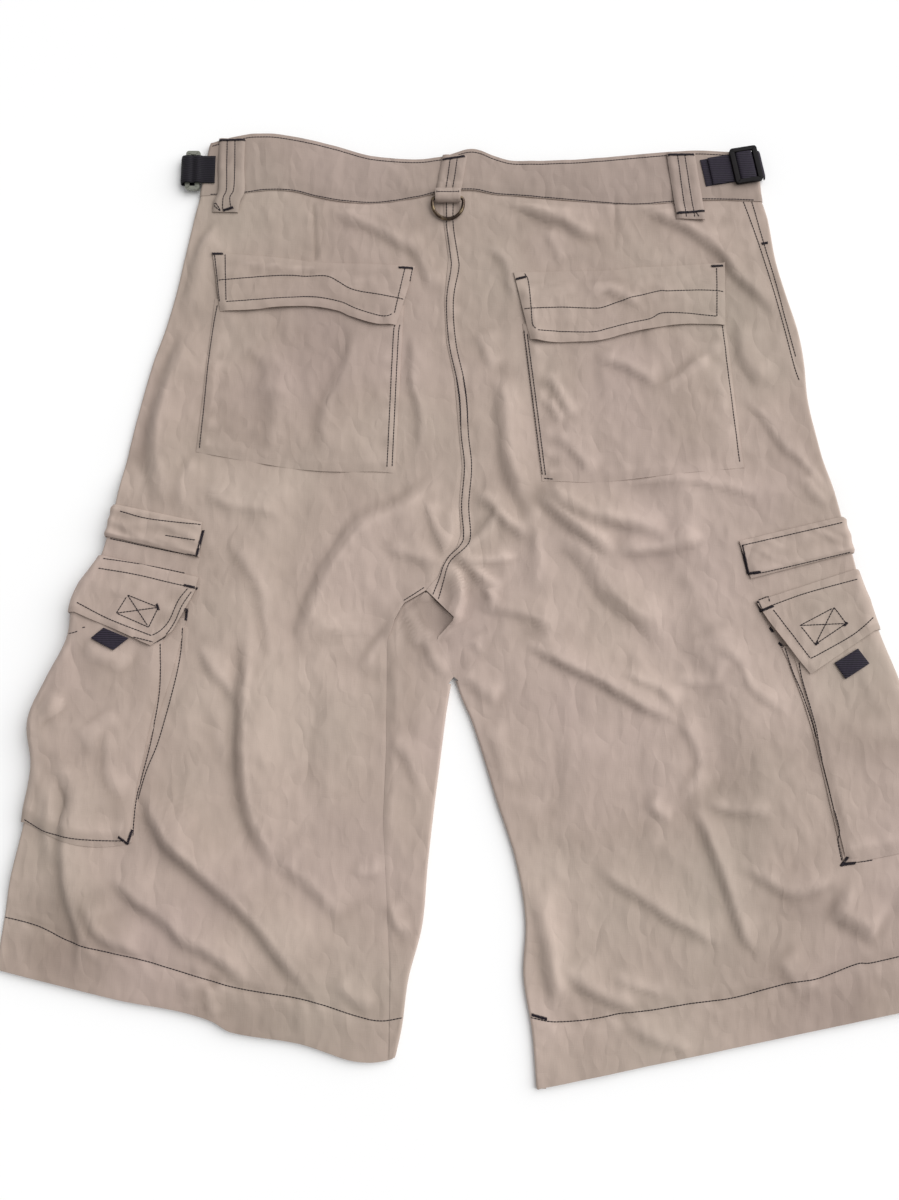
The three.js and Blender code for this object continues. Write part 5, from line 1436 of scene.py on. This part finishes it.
sewing = {
    "back_flap_left": {
        "lines": [[(-198.5, 266), (-196, 224), (-150, 227), (-126, 228), (-103, 224), (-88, 217),
                   (-67, 211), (-58.5, 214), (-50, 255)],
                  [(-203, 243), (-153, 247), (-131, 246), (-113, 246), (-94, 235), (-75, 231), (-49, 226)],
                  [(-207, 265), (-204, 243), (-201.5, 224)], [(-44, 254), (-47, 238), (-50.5, 223)]],
        "tacks": [[(-208.5, 266), (-197, 266.5)], [(-55, 254.5), (-44, 254)], [(-50, 226), (-50.6, 220)]]},
    "back_flap_right": {
        "lines": [[(48, 249), (51, 242), (53, 218), (54, 204), (58, 199), (100, 197), (114, 200),
                   (133, 205), (150, 209), (159, 214), (177, 214), (204, 211), (206, 256)],
                  [(45, 218), (77, 219), (103, 218), (112, 219), (128, 225), (157, 233), (165, 233),
                   (190, 234), (211, 233)]],
        "tacks": [[(39.5, 243), (49, 246)], [(202, 255.5), (211, 256)], [(44.5, 220.5), (45.5, 214.5)],
                  [(49, 206), (50.5, 197)]]},
    "back_pocket_left": {
        "lines": [[(-203.6, 222), (-207.5, 190), (-213.3, 99)], [(-54, 205), (-55.5, 190), (-59.5, 83)],
                  [(-58, 204), (-59.5, 190), (-63.5, 83.5)]],
        "tacks": []},
    "back_pocket_right": {
        "lines": [[(47.1, 200), (53.5, 140), (60.5, 76)], [(49.7, 197), (56.1, 140), (63, 76)],
                  [(208.5, 206), (213, 150), (218, 87)], [(61.5, 75.5), (69, 74.5)]],
        "tacks": []},
    "belt_loop_left": {
        "lines": [[(-200, 368), (-199.5, 345), (-199, 323), (-201.5, 316), (-202, 303.5)],
                  [(-193.5, 368), (-192.8, 345), (-193, 323), (-196, 316), (-194.5, 304.5)],
                  [(-204, 305), (-208, 308), (-209.5, 310.5), (-207.5, 311), (-204.5, 306.5), (-203, 302),
                   (-205, 300), (-203.5, 298)]],
        "tacks": [[(-206.5, 368), (-185.5, 368.5)], [(-204, 304.5), (-193, 307.5)]]},
    "belt_loop_centre": {
        "lines": [[(-13, 350), (-15.5, 330), (-17.5, 318)], [(-7, 352), (-9.5, 332), (-12, 318)]],
        "tacks": [[(-19, 349), (-1, 352.5)]]},
    "belt_loop_right": {
        "lines": [[(177, 355), (179.5, 325), (182, 297.5)], [(183, 355), (186, 325), (189, 297.5)],
                  [(179, 301), (176, 298.5), (173.5, 299)], [(190, 302), (193, 297), (191, 294)]],
        "tacks": [[(169.5, 354.5), (190.5, 355)], [(174.5, 300.5), (197, 303)]]},
    "ring_tab": {
        "lines": [[(-24, 319), (-24, 314.4)], [(-6, 319), (-6, 314.4)], [(-23.5, 317.5), (-6.5, 317.5)]],
        "tacks": []},
    "back_right": {
        "lines": [[(231, 314), (242, 277), (250, 245), (258, 210), (266, 170), (270, 156)],
                  [(238, 314), (246.5, 277), (254, 245), (261, 210), (268, 176)],
                  [(-16.5, 318), (-16, 300), (-16, 292), (-12.6, 264), (-12.4, 254), (-16, 226), (-14, 190),
                   (-7.5, 158), (-5, 138), (-4.2, 112), (-1.6, 85), (-4, 54), (-2.4, 30), (-5, 21),
                   (-14, 12), (-19, 3), (-21, -4), (-27, -20)],
                  [(-10.5, 318), (-10.5, 292), (-6.5, 264), (-6, 254), (-10.5, 226), (-8.5, 190), (-2, 158),
                   (0.5, 138), (1.5, 112), (4, 85), (1.6, 54), (3, 30), (0, 20), (-12, 9.5), (-16, 1),
                   (-17.5, -5), (-20, -14), (-23, -25)],
                  [(-8, 160), (-5.6, 140), (-4.6, 118)], [(-2.6, 160), (0, 140), (1, 120)]],
        "tacks": [[(245, 276.5), (249.5, 277.5)], [(230, 313.5), (234, 313.8)],
                  [(237, 313.8), (241, 313.6)]]},
    "back_left": {
        "lines": [[(-33.5, -12.8), (-41, -18), (-50.5, -24)]],
        "tacks": []},
    "side_band_left": {
        "lines": [[(-272.3, 46.6), (-247.6, 40.1), (-207.3, 35.7)], [(-236, 27.2), (-211.6, 23.2)],
                  [(-279.9, 25.2), (-233.9, 15.2), (-211.5, 11.2)],
                  [(-283.7, 8.8), (-247.5, 3.2), (-217.6, -3.1)]],
        "tacks": [[(-206.8, 31.3), (-211.1, 10.4)]]},
    "side_band_right": {
        "lines": [[(215, 19.2), (294.8, 37.7)], [(220.7, -2.4), (230, -2.4), (299.7, 14)],
                  [(226.4, -23.7), (233.8, -20.6), (234.5, -26.9)]],
        "tacks": [[(215, 19.2), (219.1, -3.1)], [(219.1, -3.1), (228.5, -2)]]},
    "cargo_flap_left": {
        "lines": [[(-286.6, 0.8), (-257.1, -4.3), (-226.9, -11.5), (-210.4, -14.6)],
                  [(-216.6, -15.4), (-223.2, -24.9), (-228.8, -39.8), (-235.3, -48.4), (-242.1, -52.6),
                   (-275.1, -39.8), (-301.4, -26.4)],
                  [(-213.4, -17.8), (-219.9, -28.8), (-224.8, -41.3), (-231.3, -51.5), (-239.5, -57.7),
                   (-259, -53)],
                  [(-262.1, -20.9), (-238.1, -30.4), (-244.7, -46), (-269.9, -35.1), (-262.1, -20.9)],
                  [(-262.1, -20.9), (-244.7, -46)], [(-269.9, -35.1), (-238.1, -30.4)]],
        "tacks": [[(-219.1, -12.7), (-209.6, -15)], [(-217.1, -31.2), (-217.6, -39.8)],
                  [(-239.3, -28), (-237.6, -32.7)]]},
    "cargo_flap_right": {
        "lines": [[(236.8, -28), (263.2, -18.6), (305.5, -7.1)],
                  [(236.6, -31.9), (262.3, -70.1), (270.2, -66.2), (296.5, -51.5), (313.6, -37.4)],
                  [(256, -44.5), (283.1, -30.4), (291.6, -42.9), (266.8, -59.2), (256, -44.5)],
                  [(256, -44.5), (291.6, -42.9)], [(283.1, -30.4), (266.8, -59.2)]],
        "tacks": [[(225.3, -24.9), (228, -32.7)], [(227.3, -32.7), (236.7, -28.8)],
                  [(266.8, -59.2), (269.2, -57.7)], [(290, -44.5), (292.4, -42.1)]]},
    "cargo_pocket_left": {
        "lines": [[(-236.2, -58.2), (-235.4, -93.7), (-239.9, -128), (-245.5, -154.3), (-249.8, -176.7),
                   (-251.4, -204.7)],
                  [(-333.2, -191.1), (-317.6, -199.6), (-296.3, -204.7), (-275.3, -206.5), (-255, -206.9)],
                  [(-311.5, -49.9), (-305.3, -50.4), (-299.2, -48.8)], [(-296.2, -46.1), (-291.6, -45.3)]],
        "tacks": [[(-261.2, -204), (-254.9, -209.1)], [(-254.9, -209.1), (-251.7, -198.8)]]},
    "cargo_gusset_left": {
        "lines": [[(-219.7, -45.7), (-222.3, -76.8), (-233.8, -128), (-243.3, -154.3), (-249, -176.7)]],
        "tacks": []},
    "cargo_pocket_right": {
        "lines": [[(254.3, -72.9), (256, -85.3), (260.7, -105.2), (264.3, -121.7), (266.6, -136.3),
                   (270.4, -157.3), (274.6, -178.9), (278.7, -199.6), (277.6, -206.9), (279.9, -222.2)],
                  [(281.4, -223), (294.1, -222.2), (303.2, -220.8)]],
        "tacks": [[(279, -225.1), (283.9, -218.6)], [(279.8, -224.4), (289.6, -223)]]},
    "cargo_gusset_right": {
        "lines": [[(244.6, -61.3), (249.7, -79.9), (255.7, -96), (261.1, -114.3), (265.3, -131.8)]],
        "tacks": [[(240.5, -57.4), (243.4, -60.5)], [(234.1, -45.7), (236.3, -48.8)]]},
}
stitch = {"long": 2.3, "gap": 0.1, "radius": 0.37, "rise": 0.25,
          "rings": ((0.0, 0.45, -0.25), (0.22, 1.0, 0.25), (0.78, 1.0, 0.25), (1.0, 0.45, -0.25))}
tack = {"wide": 2.1, "step": 0.5, "lean": 0.3, "rise": 0.3}


def treesOf(names):
    graph = bpy.context.evaluated_depsgraph_get()
    return [BVHTree.FromObject(bpy.data.objects[name + "_cloth"], graph) for name in names]


def dropOn(trees, x, y, below=False):
    # the place and normal of the cloth at a point seen from above or from below, from well clear of it
    way = -1 if below else 1
    start = Vector((x, y + cloth["middle"], 60 * way)) / 1000
    hits = [tree.ray_cast(start, Vector((0, 0, -way))) for tree in trees]
    hits = [hit for hit in hits if hit[0] is not None]
    if not hits:
        return None
    best = max(hits, key=lambda hit: hit[0].z * way)
    normal = best[1] if best[1].z * way > 0 else -best[1]
    return np.array(best[0]) * 1000, np.array(normal)


def threadMesh(starts, ends, normals, radius):
    # one low-count capsule to a stitch, sunk at both ends
    starts, ends, normals = (np.array(v, float) for v in (starts, ends, normals))
    way = ends - starts
    length = np.linalg.norm(way, axis=1, keepdims=True)
    way /= np.maximum(length, 1e-6)
    side = np.cross(way, normals)
    side /= np.maximum(np.linalg.norm(side, axis=1, keepdims=True), 1e-6)
    up = np.cross(side, way)
    rings = []
    for at, size, high in stitch["rings"]:
        centre = starts + (ends - starts) * at + up * radius * (high + stitch["rise"])
        for k in range(6):
            a = math.pi / 3 * k
            rings.append(centre + radius * size * (math.cos(a) * side + 0.8 * math.sin(a) * up))
    points = np.stack(rings, axis=1)
    points[..., 2] = np.maximum(points[..., 2], 0.02)
    faces = []
    for ringAt in range(3):
        for k in range(6):
            a, b = ringAt * 6 + k, ringAt * 6 + (k + 1) % 6
            faces.append((a, b, b + 6, a + 6))
    faces = np.array(faces)
    base = (np.arange(len(starts)) * 24)[:, None]
    quads = (base[:, :, None] + faces[None]).reshape(-1, 4).tolist()
    caps = (base + np.arange(5, -1, -1)).tolist() + (base + np.arange(18, 24)).tolist()
    return points.reshape(-1, 3), quads + caps


def runsOf(path, sharp=38):
    # the path in parts that end at its corners
    chain = np.array(path, float)
    ways = np.arctan2(*np.diff(chain, axis=0).T[::-1])
    bends = np.abs((np.diff(ways) + math.pi) % (2 * math.pi) - math.pi)
    turns = [k + 1 for k, bend in enumerate(bends) if bend > math.radians(sharp)]
    corners = [0] + turns + [len(chain) - 1]
    return [chain[a:b + 1] for a, b in zip(corners[:-1], corners[1:])]


def sewLine(path, trees, below, found):
    fine = rounded(path, 6 * len(path)) if len(path) > 2 else np.array(path, float)
    lengths = lengthsOf(fine)
    pitch = stitch["long"] + stitch["gap"]
    for k in range(max(1, int(lengths[-1] / pitch))):
        ends = zip(*pointsAt(fine, lengths, [k * pitch, k * pitch + stitch["long"]]))
        hits = [dropOn(trees, x, y, below) for x, y in ends]
        if all(hits) and np.linalg.norm(hits[0][0] - hits[1][0]) < 6:
            found[0].append(hits[0][0])
            found[1].append(hits[1][0])
            found[2].append(hits[0][1] + hits[1][1])


def sewTack(path, trees, below, found, rng):
    # close zigzag over a short line
    a, b = np.array(path[0], float), np.array(path[1], float)
    length = np.hypot(*(b - a))
    way = (b - a) / length
    across = np.array([-way[1], way[0]])
    for k, at in enumerate(np.arange(0, length, tack["step"])):
        half = tack["wide"] / 2 * rng.uniform(0.8, 1.15)
        lean = tack["lean"] if k % 2 else -tack["lean"]
        ends = [a + way * (at + lean) + across * half, a + way * (at - lean) - across * half]
        hits = [dropOn(trees, p[0], p[1], below) for p in ends]
        if all(hits):
            lifted = [hit[0] + hit[1] * tack["rise"] for hit in hits]
            found[0].append(lifted[0])
            found[1].append(lifted[1])
            found[2].append(hits[0][1] + hits[1][1])


def sewOn(name, lines, tacks, names, below=False):
    trees = treesOf(names)
    rng = np.random.default_rng(len(name))
    found = ([], [], [])
    for path in lines:
        for run in runsOf(path):
            sewLine(run, trees, below, found)
    for path in tacks:
        sewTack(path, trees, below, found, rng)
    if not found[0]:
        return
    points, faces = threadMesh(*found, stitch["radius"])
    piece = addObject("sewing_" + name, points, faces, np.zeros(len(points)))
    piece.data.materials.append(navyThread)
    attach(piece, "shorts")
    print("sewing", name, len(found[0]), "stitches")


panels = ["back_left", "back_right", "front_left"]
cargoParts = ["cargo_" + part + "_" + side
              for part in ("gusset", "pocket", "flap") for side in ("left", "right")]
for name, facts in sewing.items():
    if name in panels:
        near = panels
    elif name in cargoParts:
        near = panels + cargoParts
    elif name.startswith("side"):
        near = panels + cargoParts + [name]
    else:
        near = [name]
    sewOn(name, facts["lines"], facts["tacks"], near)


def waistLine(x, line, shift):
    return np.stack([x, waistAt(x, line) + shift], axis=1)


bandX, frontX = np.linspace(-213, 240, 90), np.linspace(-205, 232, 80)
sewOn("waistband", [waistLine(bandX, "top", -3.4), waistLine(bandX, "bottom", 0.9)], [], ["waistband_back"])
hemLines = list(hemStitch.values())
sewOn("hems", hemLines, [[(47, -332), (58, -335)]], panels)
sewOn("hems_front", hemLines, [], panels + ["front_right"], below=True)
frontBand = [waistLine(frontX, "bottom", 2.2), waistLine(frontX, "top", -11.5)]
sewOn("waistband_front", frontBand, [], ["waistband_front_left", "waistband_front_right"], below=True)
flyLines = [[(-51, 292), (-51, 175), (-46, 163), (-36, 157), (-21, 155)], [(-20, 292), (-20, 157)]]
sewOn("fly", flyLines, [[(-30, 156), (-20, 154)]], ["fly"], below=True)
print("sewing done")

# Stage: pale floor and soft studio light

emptySelection()
bpy.ops.mesh.primitive_plane_add(size=8, location=(0, 0, -0.0004))
floor = bpy.context.object
floor.name = "floor"
floorFinish = Finish("pale floor", {"Roughness": 0.9, "Specular IOR Level": 0.1})
cloudy = floorFinish.noise(3, 2)
pale = floorFinish.blend(cloudy, (0.93, 0.93, 0.93, 1), (0.95, 0.95, 0.95, 1))
floor.data.materials.append(floorFinish.surface({"Base Color": pale}))

light = {"key": 3.15, "keyFrom": (0.84, 0.42, 0.8), "soft": 70, "sky": 0.42}
emptySelection()
bpy.ops.object.light_add(type="SUN")
key = bpy.context.object
key.name = "key light"
key.data.energy, key.data.angle = light["key"], math.radians(light["soft"])
key.rotation_mode = "QUATERNION"
key.rotation_quaternion = Vector(light["keyFrom"]).to_track_quat("Z", "Y")
world = bpy.data.worlds.new("pale studio")
bpy.context.scene.world = world
world.use_nodes = True
world.node_tree.nodes["Background"].inputs["Color"].default_value = (1, 1, 1, 1)
world.node_tree.nodes["Background"].inputs["Strength"].default_value = light["sky"]
bpy.context.scene.view_settings.view_transform = "Standard"
print("stage set")
